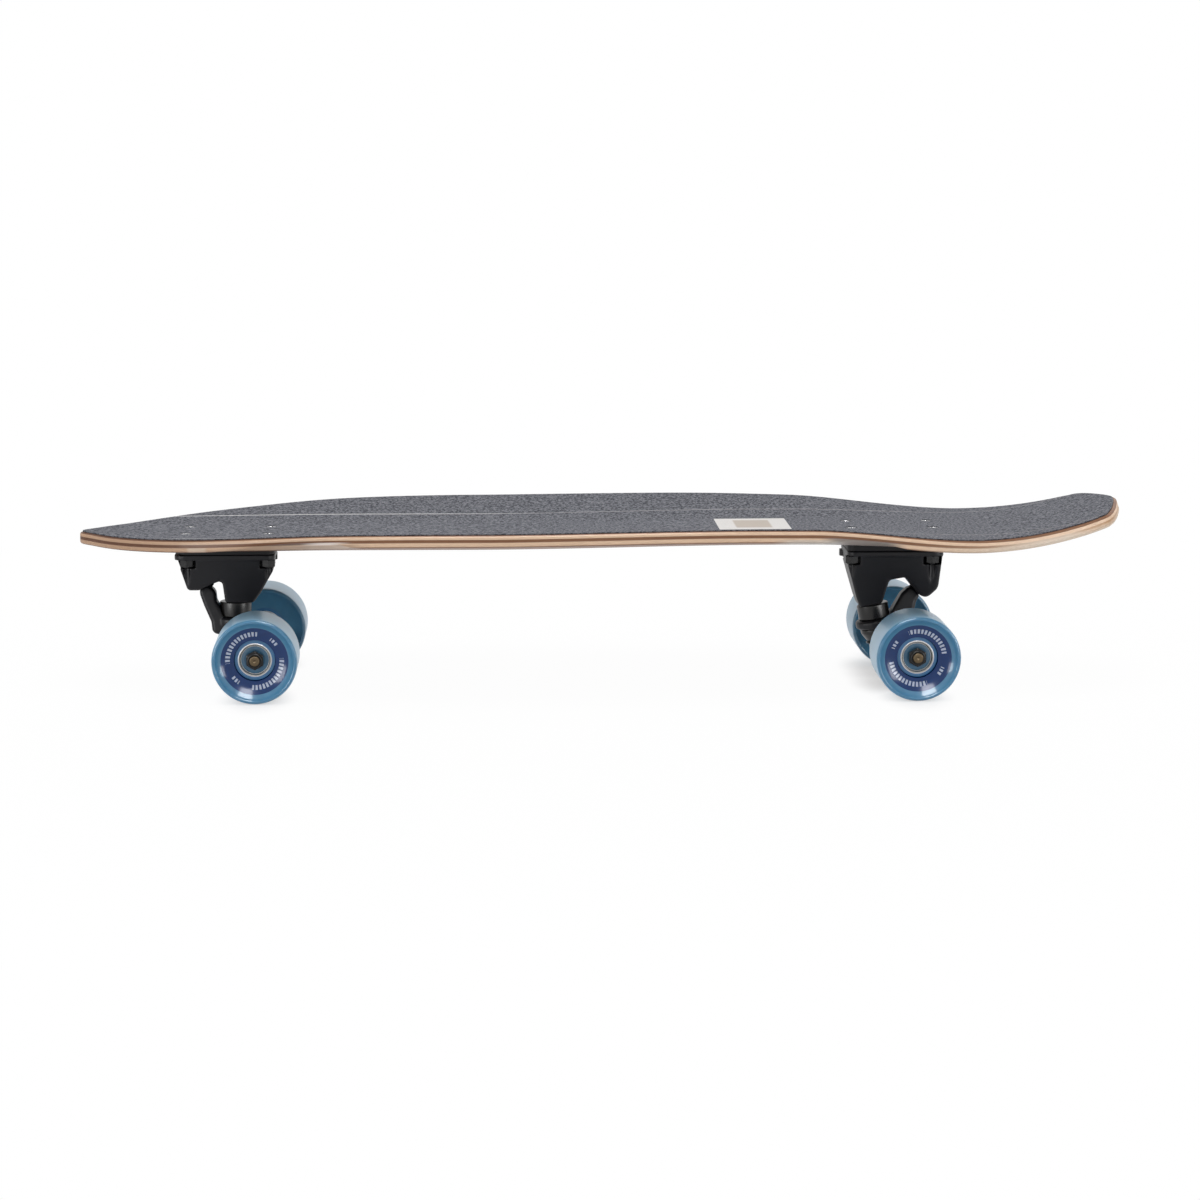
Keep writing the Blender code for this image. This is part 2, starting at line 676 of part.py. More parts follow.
def build_kingpin_stack(truck, frame):
    """Kingpin, two bushings, washer and nut, stacked down from the base's seat."""
    name = truck["name"]
    seat, down = kingpin_axis(truck)
    tilt = axis_tilt(-down)
    bore = KINGPIN_DIAMETER / 2 + GAP
    wide = BUSHING_DIAMETER / 2

    upper_top = -GAP
    upper_end = upper_top - UPPER_BUSHING_HEIGHT
    profile = ((bore, upper_top), (wide, upper_top), (wide, upper_end), (bore, upper_end))
    place(turned(f"{name}_upper_bushing", profile, "black_urethane", 20), frame, seat, tilt)

    lower_top = upper_end - RING_THICKNESS - 2 * GAP
    lower_end = lower_top - LOWER_BUSHING_HEIGHT
    shoulder = lower_top - LOWER_BUSHING_HEIGHT / 3
    profile = ((bore, lower_top), (wide, lower_top), (wide, shoulder),
               (LOWER_BUSHING_END / 2, lower_end), (bore, lower_end))
    place(turned(f"{name}_lower_bushing", profile, "black_urethane", 20), frame, seat, tilt)

    washer_top = lower_end - GAP
    washer_end = washer_top - WASHER_THICKNESS
    rim = WASHER_DIAMETER / 2
    profile = ((bore, washer_top), (rim, washer_top), (rim, washer_end), (bore, washer_end))
    place(turned(f"{name}_kingpin_washer", profile, "black_steel", 16), frame, seat, tilt)

    nut_top = washer_end - GAP
    nut_end = nut_top - KINGPIN_NUT_HEIGHT
    flats = KINGPIN_HEAD_FLATS / 2
    profile = ((bore, nut_top), (flats, nut_top), (flats, nut_end), (bore, nut_end))
    place(turned(f"{name}_kingpin_nut", profile, "black_steel", 12, hexagon=(1, 2)), frame, seat, tilt)

    end = nut_end - KINGPIN_END_BEYOND_NUT
    head_bottom = kingpin_head_bottom(truck)
    head_top = head_bottom + KINGPIN_HEAD_HEIGHT
    shaft = KINGPIN_DIAMETER / 2
    profile = ((0.0, head_top), (flats, head_top), (flats, head_bottom), (shaft, head_bottom),
               (shaft, end + AXLE_CHAMFER), (shaft - AXLE_CHAMFER, end), (0.0, end))
    place(turned(f"{name}_kingpin", profile, "black_steel", 12, hexagon=(1, 2)), frame, seat, tilt)


def build_pivot_cup(truck, frame):
    """The urethane cup that lines the base's socket round the pivot's ball."""
    pivot, direction = steering_axis(truck)
    inner, outer = PIVOT_RADIUS + GAP, CUP_RADIUS
    mouth, floor, end = -PIVOT_CUP_MOUTH, PIVOT_RADIUS + GAP, cup_depth()
    profile = ((inner, mouth), (outer, mouth), (outer, end), (0.0, end), (0.0, floor), (inner, floor))
    cup = turned(f"{truck['name']}_pivot_cup", profile, "black_urethane", 16)
    place(cup, frame, pivot, axis_tilt(direction))


def axle_beam(name):
    """The hanger's tapered beam round the axle, turned about Y."""
    middle, end = HANGER_MIDDLE_DIAMETER / 2, HANGER_END_DIAMETER / 2
    half = HANGER_WIDTH / 2
    edge = HANGER_END_EDGE
    profile = ((0.0, -half), (end - edge, -half), (end, -half + edge), (middle, -WING_ROOT),
               (middle, WING_ROOT), (end, half - edge), (end - edge, half), (0.0, half))
    return turned(name, profile, "black_paint", 20)


def wing(name, truck):
    """The web from the ring out along both halves of the beam: like outlines, widest in the middle."""
    outline = truck["wing_outline"]
    tip = []
    for u, h in outline:
        length = math.hypot(u, h)
        tip.append((u / length * WING_TIP, h / length * WING_TIP))
    loops = [[(u, y, h) for u, h in shape] for y, shape in
             ((-WING_REACH, tip), (-WING_ROOT, outline), (WING_ROOT, outline), (WING_REACH, tip))]
    return loft(name, loops, "black_paint")


def build_hanger(truck, frame, steering):
    """The cast hanger: axle beam, wings, ring, arm and pivot pin, with room round the bushings.

    Its own origin is the ring's centre, on the steering axis.
    """
    name = f"{truck['name']}_hanger"
    centre = ring_centre(truck)
    seat, down = kingpin_axis(truck)
    pivot, direction = steering_axis(truck)
    arm = truck["arm_outline"]
    low, high = min(h for _, h in arm), max(h for _, h in arm)
    wide, narrow = truck["arm_half_widths"]

    def half_width(h):
        return wide + (narrow - wide) * (h - low) / (high - low)

    hanger = bevel(prism(name, [(u - centre.x, h - centre.z) for u, h in arm],
                         lambda h: half_width(h + centre.z), "black_paint"), ARM_EDGE)
    beam = place(axle_beam(f"{name}_beam"), frame, side=1)
    combine(hanger, beam, "UNION")
    combine(hanger, place(bevel(wing(f"{name}_wing", truck), ARM_EDGE), frame), "UNION")
    rim, half, edge = RING_DIAMETER / 2, RING_THICKNESS / 2, RING_EDGE
    profile = ((0.0, -half), (rim - edge, -half), (rim, -half + edge), (rim, half - edge),
               (rim - edge, half), (0.0, half))
    ring = place(turned(f"{name}_ring", profile, "black_paint", 24), frame, centre, axis_tilt(-down))
    combine(hanger, ring, "UNION")
    back = -PIVOT_PIN_ROOT
    ball = [(PIVOT_RADIUS * math.cos(angle), PIVOT_RADIUS * math.sin(angle))
            for angle in (math.radians(turn) for turn in (0, 30, 60))]
    profile = ((0.0, back), (PIVOT_RADIUS, back), *ball, (0.0, PIVOT_RADIUS))
    pin = place(turned(f"{name}_pin", profile, "black_paint", 16), frame, pivot, axis_tilt(direction))
    combine(hanger, pin, "UNION")
    room = BUSHING_DIAMETER / 2 + STEERING_CLEARANCE
    depth = 4 * LOWER_BUSHING_HEIGHT
    half_ring = RING_THICKNESS / 2
    profile = ((0.0, half_ring), (room, half_ring), (room, depth), (0.0, depth))
    for label, side in (("under", down), ("over", -down)):
        scoop = turned(f"{name}_room_{label}", profile, "steel", 24)
        combine(hanger, place(scoop, frame, centre, axis_tilt(side)), "DIFFERENCE")
    bore = RING_BORE / 2
    through = RING_THICKNESS
    profile = ((0.0, -through), (bore, -through), (bore, through), (0.0, through))
    hole = place(turned(f"{name}_ring_bore", profile, "steel", 20), frame, centre, axis_tilt(-down))
    combine(hanger, hole, "DIFFERENCE")
    sleeve = AXLE_DIAMETER / 2 + GAP
    profile = ((0.0, -HANGER_WIDTH), (sleeve, -HANGER_WIDTH), (sleeve, HANGER_WIDTH), (0.0, HANGER_WIDTH))
    tunnel = place(turned(f"{name}_axle_bore", profile, "steel", 16), frame, side=1)
    combine(hanger, tunnel, "DIFFERENCE")
    return place(hanger, steering)


def outer_bearing_face():
    """Distance from the board's middle to the outer face of a wheel's outer bearing."""
    return TRACK / 2 + BEARING_SPACING / 2 + BEARING_WIDTH


def wheel_sides(truck):
    """Left is the board's +Y side and right its -Y side: each as the side along the truck's own Y."""
    left = -1 if truck is FRONT else 1
    return (("left", left), ("right", -left))


def build_axle(truck, steering):
    """The axle with its nuts, and the spacers that keep each wheel's two bearings apart."""
    name = truck["name"]
    middle = -ring_centre(truck)
    radius = AXLE_DIAMETER / 2
    nut_start = outer_bearing_face() + GAP
    nut_end = nut_start + AXLE_NUT_HEIGHT
    end = nut_end + AXLE_END_BEYOND_NUT
    profile = ((0.0, -end), (radius - AXLE_CHAMFER, -end), (radius, -end + AXLE_CHAMFER),
               (radius, end - AXLE_CHAMFER), (radius - AXLE_CHAMFER, end), (0.0, end))
    place(turned(f"{name}_axle", profile, "bronzed_steel", 16), steering, middle, side=1)
    flats, bore = AXLE_NUT_FLATS / 2, radius + GAP
    collar = flats - AXLE_CHAMFER
    shoulder = nut_end - AXLE_NUT_COLLAR
    nut_profile = ((bore, nut_start), (flats, nut_start), (flats, shoulder), (collar, nut_end),
                   (bore, nut_end))
    half, rim = BEARING_SPACING / 2 - GAP, SPACER_DIAMETER / 2
    spacer_profile = ((bore, half), (bore, -half), (rim, -half), (rim, half))
    for label, side in wheel_sides(truck):
        nut = turned(f"{name}_{label}_axle_nut", nut_profile, "black_steel", 12, hexagon=(1, 2))
        place(nut, steering, middle, side=side)
        spacer = turned(f"{name}_{label}_spacer", spacer_profile, "steel", 12)
        place(spacer, steering, middle + Vector((0.0, side * TRACK / 2, 0.0)), side=side)


def tyre_profile():
    """Half of a wheel's cross-section turned into a closed profile of (radius, offset) points."""
    tread = WHEEL_DIAMETER / 2
    flat = TREAD_WIDTH / 2
    lip = flat + WHEEL_LIP
    seat = CORE_DIAMETER / 2 + GAP
    face = lip - WHEEL_DISH
    half = ((tread, flat), (tread - 0.3 * WHEEL_LIP, flat + 0.7 * WHEEL_LIP), (tread - WHEEL_LIP, lip),
            (tread - WHEEL_LIP - WHEEL_SHOULDER, lip - 0.5 * WHEEL_DISH),
            (seat + 0.3 * (tread - seat), face), (seat, face))
    return [(radius, -offset) for radius, offset in reversed(half)] + list(half)


def core_profile():
    """The hub's cross-section: two bearing seats and the shoulder between them."""
    rim, half = CORE_DIAMETER / 2, CORE_WIDTH / 2
    seat, shoulder = BEARING_DIAMETER / 2 + GAP, CORE_SHOULDER_BORE / 2
    step = BEARING_SPACING / 2 - GAP
    return ((rim, -half), (rim, half), (seat, half), (seat, step), (shoulder, step), (shoulder, -step),
            (seat, -step), (seat, -half))


def bearing_profile():
    """A ball bearing's cross-section: a closed ring."""
    outer, inner, half = BEARING_DIAMETER / 2, AXLE_DIAMETER / 2 + GAP, BEARING_WIDTH / 2
    return (inner, half), (inner, -half), (outer, -half), (outer, half)


def build_wheel(name, truck, steering, side):
    """A wheel about its own spin axis: tyre, core and two bearings."""
    spin = empty(f"{name}_spin", steering, Vector((0.0, side * TRACK / 2, 0.0)) - ring_centre(truck))
    place(turned(f"{name}_tyre", tyre_profile(), "blue_urethane", WHEEL_SEGMENTS), spin, side=side)
    place(turned(f"{name}_core", core_profile(), "core_plastic", 24), spin, side=side)
    offset = (BEARING_SPACING + BEARING_WIDTH) / 2
    for label, where in (("outer", offset), ("inner", -offset)):
        bearing = turned(f"{name}_{label}_bearing", bearing_profile(), "steel", 20)
        place(bearing, spin, (0.0, side * where, 0.0), side=side)


def build_truck(truck, axle, turn):
    """A whole truck with its wheels, in a frame at the middle of its axle."""
    name = truck["name"]
    frame = empty(f"{name}_truck_frame", None, (axle, 0.0, AXLE_HEIGHT), turn)
    riser_low = truck["height"] + GAP
    riser = plate(f"{name}_riser", truck["riser_middle"], truck["riser_length"], riser_low,
                  riser_low + truck["riser"], "black_plastic")
    hole = BOLT_DIAMETER / 2 + GAP
    for cutter in bolt_cutters(truck, f"{name}_riser_hole", frame, hole, 0.0, 2 * riser_low):
        combine(riser, cutter, "DIFFERENCE")
    place(riser, frame)
    build_base(truck, frame)
    build_pivot_cup(truck, frame)
    build_kingpin_stack(truck, frame)
    steering = empty(f"{name}_steering", frame, ring_centre(truck))
    build_hanger(truck, frame, steering)
    build_axle(truck, steering)
    for label, side in wheel_sides(truck):
        build_wheel(f"{name}_{label}", truck, steering, side)


def build():
    """Build the whole board."""
    clear_scene()
    samples = with_seam_rows(outline_samples())
    build_deck(samples)
    build_grip(samples)
    build_truck(FRONT, FRONT_AXLE, math.pi)
    build_truck(REAR, REAR_AXLE, 0.0)
    build_mounting_bolts()


build()
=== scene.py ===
# %% [markdown]
# # A surfskate for the camera
# The CAD model of the board is packed as a fixed frame: every solid has its real size and place, but
# plain facets and flat colours. This lesson dresses it. Each piece gets a finer surface worked out
# with numpy and a procedural finish, and then rides on the body of the frame that it belongs to.

# %% Load the frame
import json
import math

import bmesh
import bpy
import numpy as np
from mathutils import Matrix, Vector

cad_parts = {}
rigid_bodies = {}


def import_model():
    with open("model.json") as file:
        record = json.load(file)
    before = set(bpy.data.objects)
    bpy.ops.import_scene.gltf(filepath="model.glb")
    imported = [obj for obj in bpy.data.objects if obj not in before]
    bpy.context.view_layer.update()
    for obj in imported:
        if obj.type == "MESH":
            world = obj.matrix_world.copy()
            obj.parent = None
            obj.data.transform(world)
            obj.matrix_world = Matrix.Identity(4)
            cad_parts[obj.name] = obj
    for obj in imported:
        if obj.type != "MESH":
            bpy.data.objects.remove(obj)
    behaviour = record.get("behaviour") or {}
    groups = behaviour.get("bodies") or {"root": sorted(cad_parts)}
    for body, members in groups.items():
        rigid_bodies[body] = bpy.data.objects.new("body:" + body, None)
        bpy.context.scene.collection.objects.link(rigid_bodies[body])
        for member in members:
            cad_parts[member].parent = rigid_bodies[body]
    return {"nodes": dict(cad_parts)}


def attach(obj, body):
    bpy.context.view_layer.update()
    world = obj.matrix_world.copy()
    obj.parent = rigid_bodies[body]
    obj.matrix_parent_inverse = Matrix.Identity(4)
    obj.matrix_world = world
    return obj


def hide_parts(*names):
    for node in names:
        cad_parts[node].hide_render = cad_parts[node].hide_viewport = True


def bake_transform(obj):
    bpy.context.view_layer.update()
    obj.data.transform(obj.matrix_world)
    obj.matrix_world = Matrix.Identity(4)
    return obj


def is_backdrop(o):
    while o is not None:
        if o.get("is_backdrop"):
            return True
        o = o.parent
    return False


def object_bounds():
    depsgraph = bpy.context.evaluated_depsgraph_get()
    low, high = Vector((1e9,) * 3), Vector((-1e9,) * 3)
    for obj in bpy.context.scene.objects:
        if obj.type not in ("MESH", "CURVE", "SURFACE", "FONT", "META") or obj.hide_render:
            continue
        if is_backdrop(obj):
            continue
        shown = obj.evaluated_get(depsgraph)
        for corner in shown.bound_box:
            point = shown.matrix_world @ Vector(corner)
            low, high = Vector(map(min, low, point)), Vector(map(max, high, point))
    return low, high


for old in list(bpy.data.objects):
    bpy.data.objects.remove(old)
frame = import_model()
cad_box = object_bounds()
print("CAD box in mm", [round(1000 * (high - low), 1) for low, high in zip(*cad_box)])

# %% [markdown]
# ## Sizes
# The frame is in metres, +X from nose to tail, Y across and Z up, and the origin is on the ground.
# The deck is a formula, so its numbers are needed again here. They are the CAD model's own, apart
# from the wheel wells, which are up to 0.5 mm deeper here and end up to 3 mm elsewhere. Each truck
# is described in its own frame: U along the board from the axle and H above it. The front truck is
# turned half round, so its U points to the nose.

# %% Sizes of the board
MM = 0.001
GAP = 0.3 * MM
AXLE_HEIGHT = 32.5 * MM
FRONT_AXLE, REAR_AXLE = -266.75 * MM, 237.25 * MM
DECK_LENGTH, DECK_WIDTH, DECK_THICKNESS = 812.5 * MM, 247.6 * MM, 9.3 * MM
EDGE_RADIUS = 2.2 * MM
GRIP_THICKNESS = 0.7 * MM
GRIP_RISE = GAP + GRIP_THICKNESS
SEAM_OFFSET, SEAM_WIDTH = 68 * MM, 1.2 * MM
TRUCKS = {
    "front": {
        "axle": FRONT_AXLE, "turn": -1, "height": 71.0 * MM, "riser": 5.5 * MM,
        "bolts": 24.1 * MM, "pad": (25.2 * MM, 74.6 * MM),
        "kingpin": (19.5 * MM, 31.8 * MM), "lean": 0.0, "pivot": (46.0 * MM, 50.0 * MM),
        "well": (-40 * MM, 30 * MM, 55 * MM, 79 * MM), "well_depth": 5.2 * MM,
        "print": math.radians(135),
    },
    "rear": {
        "axle": REAR_AXLE, "turn": 1, "height": 72.3 * MM, "riser": 7.4 * MM,
        "bolts": -11.4 * MM, "pad": (-8.8 * MM, 75.6 * MM),
        "kingpin": (-24.0 * MM, 27.8 * MM), "lean": math.radians(10.0),
        "pivot": (13.6 * MM, 42.5 * MM),
        "well": (-75 * MM, -48 * MM, -30 * MM, -7 * MM), "well_depth": 3.5 * MM,
        "print": math.radians(60),
    },
}
SIDES = (("left", 1), ("right", -1))
print("wheelbase in mm", round((REAR_AXLE - FRONT_AXLE) / MM, 1))

# %% [markdown]
# ## Surfaces as arrays
# Nearly every piece here is a grid of points: a shape is a function of two parameters, worked out
# for the whole grid at once. The faces of a grid only depend on its size, so one function gives
# them for all pieces. Rows that shrink to a point are merged afterwards, which closes the poles.

# %% Faces of a grid, and a mesh from points
def grid_faces(rows, columns, wrap_rows=False, wrap_columns=False):
    """Corner numbers of the quads of a grid: each point, its right neighbour, and both a row on."""
    row, column = np.meshgrid(np.arange(rows - (not wrap_rows)),
                              np.arange(columns - (not wrap_columns)), indexing="ij")
    next_row, next_column = (row + 1) % rows * columns, (column + 1) % columns
    row = row * columns
    corners = (row + column, row + next_column, next_row + next_column, next_row + column)
    return np.stack(corners, -1).reshape(-1, 4)


def mesh_from(name, points, faces, own=None):
    """A mesh from an array of points and one of quads, with doubles merged and faces turned out."""
    mesh = bpy.data.meshes.new(name)
    mesh.vertices.add(len(points))
    mesh.vertices.foreach_set("co", points.astype(np.float32).ravel())
    mesh.loops.add(faces.size)
    mesh.loops.foreach_set("vertex_index", faces.astype(np.int32).ravel())
    mesh.polygons.add(len(faces))
    mesh.polygons.foreach_set("loop_start", np.arange(0, faces.size, 4, dtype=np.int32))
    mesh.update(calc_edges=True)
    if own is not None:
        layer = mesh.attributes.new("own", "FLOAT_VECTOR", "POINT")
        layer.data.foreach_set("vector", own.astype(np.float32).ravel())
    work = bmesh.new()
    work.from_mesh(mesh)
    bmesh.ops.remove_doubles(work, verts=work.verts, dist=1e-6)
    bmesh.ops.dissolve_degenerate(work, edges=work.edges, dist=1e-7)
    bmesh.ops.recalc_face_normals(work, faces=work.faces)
    work.to_mesh(mesh)
    work.free()
    return mesh


def from_grids(name, grids, own=None):
    """One mesh from several grids, each (points, wrap rows, wrap columns)."""
    points, faces, start = [], [], 0
    for grid, wrap_rows, wrap_columns in grids:
        faces.append(grid_faces(*grid.shape[:2], wrap_rows, wrap_columns) + start)
        points.append(grid.reshape(-1, 3))
        start += len(points[-1])
    return mesh_from(name, np.concatenate(points), np.concatenate(faces), own)


# %% [markdown]
# A mesh becomes a piece when it has a finish and rides on a body of the frame. The CAD nodes
# that it stands for are hidden.

# %% Make a piece of a mesh
def piece(mesh, body, look, nodes=(), sharp=38.0):
    """Put a mesh in the scene as a piece of the board, smooth except where faces meet sharply."""
    mesh.shade_smooth()
    mesh.set_sharp_from_angle(angle=math.radians(sharp))
    mesh.materials.clear()
    mesh.materials.append(look)
    made = bpy.data.objects.new(mesh.name, mesh)
    bpy.context.scene.collection.objects.link(made)
    if body:
        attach(made, body)
    if nodes:
        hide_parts(*nodes)
    return made


# %% [markdown]
# ## Shader maths as Python
# A material is a small calculation for each point of a surface. The class below wraps one output
# of the node tree, so that `1 - mask` or `grain * 0.2` adds the Math node for it. Every other node
# comes from its `node` method.

# %% A wire of the node tree
class Wire:
    """An output of a material's node tree that Python's signs can be used on."""

    def __init__(self, tree, socket=None):
        self.tree, self.socket = tree, socket

    def node(self, kind, settings=None, inputs=None, output=0):
        """Add a node: its settings come first, then a value or a wire for each named input."""
        made = self.tree.nodes.new("ShaderNode" + kind)
        for key, value in (settings or {}).items():
            setattr(made, key, value)
        for key, value in (inputs or {}).items():
            if isinstance(value, Wire):
                self.tree.links.new(value.socket, made.inputs[key])
            else:
                made.inputs[key].default_value = value
        return Wire(self.tree, made.outputs[output])

    def maths(self, operation, *values):
        """A Math node over wires or numbers."""
        return self.node("Math", {"operation": operation}, dict(enumerate(values)))

    def __add__(self, other):
        return self.maths("ADD", self, other)

    def __sub__(self, other):
        return self.maths("SUBTRACT", self, other)

    def __rsub__(self, other):
        return self.maths("SUBTRACT", other, self)

    def __mul__(self, other):
        return self.maths("MULTIPLY", self, other)

    def __gt__(self, other):
        return self.maths("GREATER_THAN", self, other)

    def __lt__(self, other):
        return self.maths("LESS_THAN", self, other)

    __radd__, __rmul__ = __add__, __mul__


# %% [markdown]
# A few words that the finishes share: a smooth step between two values, a mix of two colours, the
# place on the board or on the piece itself, noise of a given grain in millimetres, and `finish`,
# which joins the wires to the Principled shader.

# %% Words for finishes
def start_paint(name):
    """A new material and a wire that its nodes grow from."""
    material = bpy.data.materials.new(name)
    material.use_nodes = True
    return material, Wire(material.node_tree)


def step(value, low, high):
    """0 below low, 1 above high and a smooth step between."""
    return value.node("MapRange", {"interpolation_type": "SMOOTHSTEP"},
                      {"Value": value, "From Min": low, "From Max": high})


def between(value, low, high, soft):
    """1 between low and high, 0 outside, with both sides eased over soft."""
    return step(value, low - soft, low + soft) * (1 - step(value, high - soft, high + soft))


def mix(share, first, second):
    """The first colour where share is 0 and the second where it is 1."""
    colours = {0: share}
    for key, colour in ((6, first), (7, second)):
        colours[key] = colour if isinstance(colour, Wire) else (*colour, 1.0)
    return share.node("Mix", {"data_type": "RGBA"}, colours, 2)


def place_on(paint, stretch=(1.0, 1.0, 1.0)):
    """Object coordinates in metres, stretched."""
    place = paint.node("TexCoord", {}, {}, "Object")
    return paint.node("Mapping", {}, {"Vector": place, "Scale": stretch})


def part_of(vector, axis):
    """One coordinate of a vector: X, Y or Z."""
    return vector.node("SeparateXYZ", {}, {0: vector}, axis)


def own_place(paint):
    """A turned piece's own coordinates in metres, whose Z is the axis it was turned about."""
    return paint.node("Attribute", {"attribute_name": "own"}, {}, "Vector")


def own_radius(paint):
    """Distance from a turned piece's own axis in millimetres."""
    x, y = (part_of(own_place(paint), axis) for axis in "XY")
    return paint.maths("SQRT", x * x + y * y) * 1000


def noise(paint, grain, detail=2.0, where=None, roughness=0.5):
    """Noise from 0 to 1 whose blotches are about grain millimetres wide."""
    where = where or place_on(paint)
    return paint.node("TexNoise", {}, {"Vector": where, "Scale": 1.0 / (grain * MM),
                                       "Detail": detail, "Roughness": roughness})


def finish(material, paint, bump=None, depth=0.0, **sockets):
    """Join wires and numbers to the shader; bump is a height in units of depth millimetres."""
    shader = material.node_tree.nodes["Principled BSDF"]
    if bump is not None:
        sockets["Normal"] = paint.node("Bump", {}, {"Height": bump, "Distance": depth * MM,
                                                    "Strength": 1.0})
    for key, value in sockets.items():
        socket = shader.inputs[key.replace("_", " ")]
        if isinstance(value, Wire):
            material.node_tree.links.new(value.socket, socket)
        else:
            socket.default_value = (*value, 1.0) if socket.type == "RGBA" else value
    return material


# %% [markdown]
# ## The deck
# A deck is pressed from thin sheets of veneer: here two pale bands, with a dark one between them
# and thin dark faces. It is level over the trucks, curls up to the rails in a shallow bowl and kicks
# up at the tail. Sanded wheel wells thin the rails over the wheels. The functions below repeat the
# CAD model's formulas for whole arrays, so that the fine skin lies where the CAD deck lies, apart
# from the wells.

# %% The deck's formulas
FLAT_WIDTH, CONCAVE_DEPTH, CONCAVE_BEND = 60 * MM, 12.5 * MM, 0.35
KICK_START, KICK_RADIUS, KICK_ANGLE = 45 * MM, 345 * MM, math.radians(18.0)
# Each change along the board has a start, measured from an axle, and a length.
RAMP_START, RAMP_LENGTH = 165 * MM, 235 * MM
RISE_START, RISE_LENGTH, NOSE_SHARE = -90 * MM, 160 * MM, 0.6
FADE_START, FADE_LENGTH = -84 * MM, 135 * MM
WELL_WIDTH = 34 * MM
OUTLINE_LENGTH = DECK_LENGTH - (DECK_THICKNESS - EDGE_RADIUS) * math.sin(KICK_ANGLE)
OUTLINE = np.array((
    (0.0, 0.0), (0.0135, 0.138), (0.0505, 0.394), (0.106, 0.655), (0.180, 0.836), (0.272, 0.952),
    (0.346, 0.992), (0.420, 1.0), (0.531, 0.983), (0.605, 0.955), (0.679, 0.907), (0.7525, 0.861),
    (0.826, 0.819), (0.888, 0.742), (0.937, 0.650), (0.968, 0.577), (0.9772, 0.543), (0.9821, 0.492),
    (0.9885, 0.378), (0.9945, 0.227), (0.9987, 0.090), (1.0, 0.0),
))
print("outline points", len(OUTLINE))


def ease(value):
    """A smooth step from 0 to 1: three squares less two cubes."""
    value = np.clip(value, 0.0, 1.0)
    return value * value * (3.0 - 2.0 * value)


def pad_level(truck):
    """Height of the wood's underside over a truck."""
    return AXLE_HEIGHT + truck["height"] + GAP + truck["riser"] + GAP


def kick_lean(x):
    """The kick's slope as an angle: its sine grows with the distance past the kick's start."""
    beyond = np.maximum(0.0, x - REAR_AXLE - KICK_START)
    return np.arcsin(np.minimum(beyond / KICK_RADIUS, math.sin(KICK_ANGLE)))


def wood_top(x, y):
    """Height of the wood's upper face: a level with an eased ramp, an arc and its tangent for the
    kick, and a hyperbola up to the rails outside the flat strip, eased in and out along the board."""
    front, rear = pad_level(TRUCKS["front"]), pad_level(TRUCKS["rear"])
    ramp = ease((x - FRONT_AXLE - RAMP_START) / RAMP_LENGTH)
    level = front + (rear - front) * ramp + DECK_THICKNESS
    beyond, lean = np.maximum(0.0, x - REAR_AXLE - KICK_START), kick_lean(x)
    level = level + KICK_RADIUS * (1.0 - np.cos(lean))
    level = level + (beyond - KICK_RADIUS * np.sin(lean)) * np.tan(lean)
    outside = np.maximum(0.0, np.abs(y) - FLAT_WIDTH / 2) / (DECK_WIDTH / 2 - FLAT_WIDTH / 2)
    full_rise = math.hypot(1.0, CONCAVE_BEND) - CONCAVE_BEND
    rise = (np.hypot(outside, CONCAVE_BEND) - CONCAVE_BEND) / full_rise
    grown = NOSE_SHARE + (1.0 - NOSE_SHARE) * ease((x - FRONT_AXLE - RISE_START) / RISE_LENGTH)
    faded = 1.0 - ease((x - REAR_AXLE - FADE_START) / FADE_LENGTH)
    return level + CONCAVE_DEPTH * grown * faded * rise


def beneath(x, y, depth):
    """The points at a depth under the upper face, measured square to the kick, as one array."""
    x, y, depth = np.broadcast_arrays(x, y, depth)
    lean = kick_lean(x)
    return np.stack((x + depth * np.sin(lean), y, wood_top(x, y) - depth * np.cos(lean)), -1)


def wood_depth(x, y, rail):
    """Thickness of the wood, less the wheel wells, which slope up towards the rail."""
    across = np.clip(1.0 - (rail - np.abs(y)) / WELL_WIDTH, 0.0, 1.0)
    depth = DECK_THICKNESS + 0.0 * x
    for truck in TRUCKS.values():
        start, full, shallow, end = (truck["axle"] + place for place in truck["well"])
        along = ease((x - start) / (full - start)) - ease((x - shallow) / (end - shallow))
        depth = depth - truck["well_depth"] * along * across
    return depth


def outline(steps):
    """The half outline from nose to tail as arrays x, y and its outward normal.

    A cubic joins each pair of given points; its slopes are the neighbouring chords' directions,
    weighted by the opposite chord's length, and both tips are mirrored to keep them round.
    """
    knots = OUTLINE * (OUTLINE_LENGTH, DECK_WIDTH / 2) - (DECK_LENGTH / 2, 0.0)
    path = np.concatenate((knots[1:2] * (1, -1), knots, knots[-2:-1] * (1, -1)))
    chords = np.diff(path, axis=0)
    gaps = np.linalg.norm(chords, axis=1)[:, None]
    unit = chords / gaps
    weight = gaps[1:] / (gaps[:-1] + gaps[1:])
    slopes = unit[:-1] * weight + unit[1:] * (1.0 - weight)
    t = (np.arange(steps) / steps)[None, :, None]
    here, there = knots[:-1, None], knots[1:, None]
    leaving, arriving = slopes[:-1, None] * gaps[1:-1, None], slopes[1:, None] * gaps[1:-1, None]
    share = t * t * (3 - 2 * t)
    point = here + (there - here) * share
    point = point + leaving * (t * (1 - t) ** 2) - arriving * (t * t * (1 - t))
    along = (there - here) * (6 * t * (1 - t)) + leaving * (1 - t) * (1 - 3 * t)
    along = along + arriving * t * (3 * t - 2)
    point = np.concatenate((point.reshape(-1, 2), knots[-1:]))
    along = np.concatenate((along.reshape(-1, 2), slopes[-1:]))
    along /= np.linalg.norm(along, axis=1)[:, None]
    return point[:, 0], np.maximum(0.0, point[:, 1]), -along[:, 1], along[:, 0]


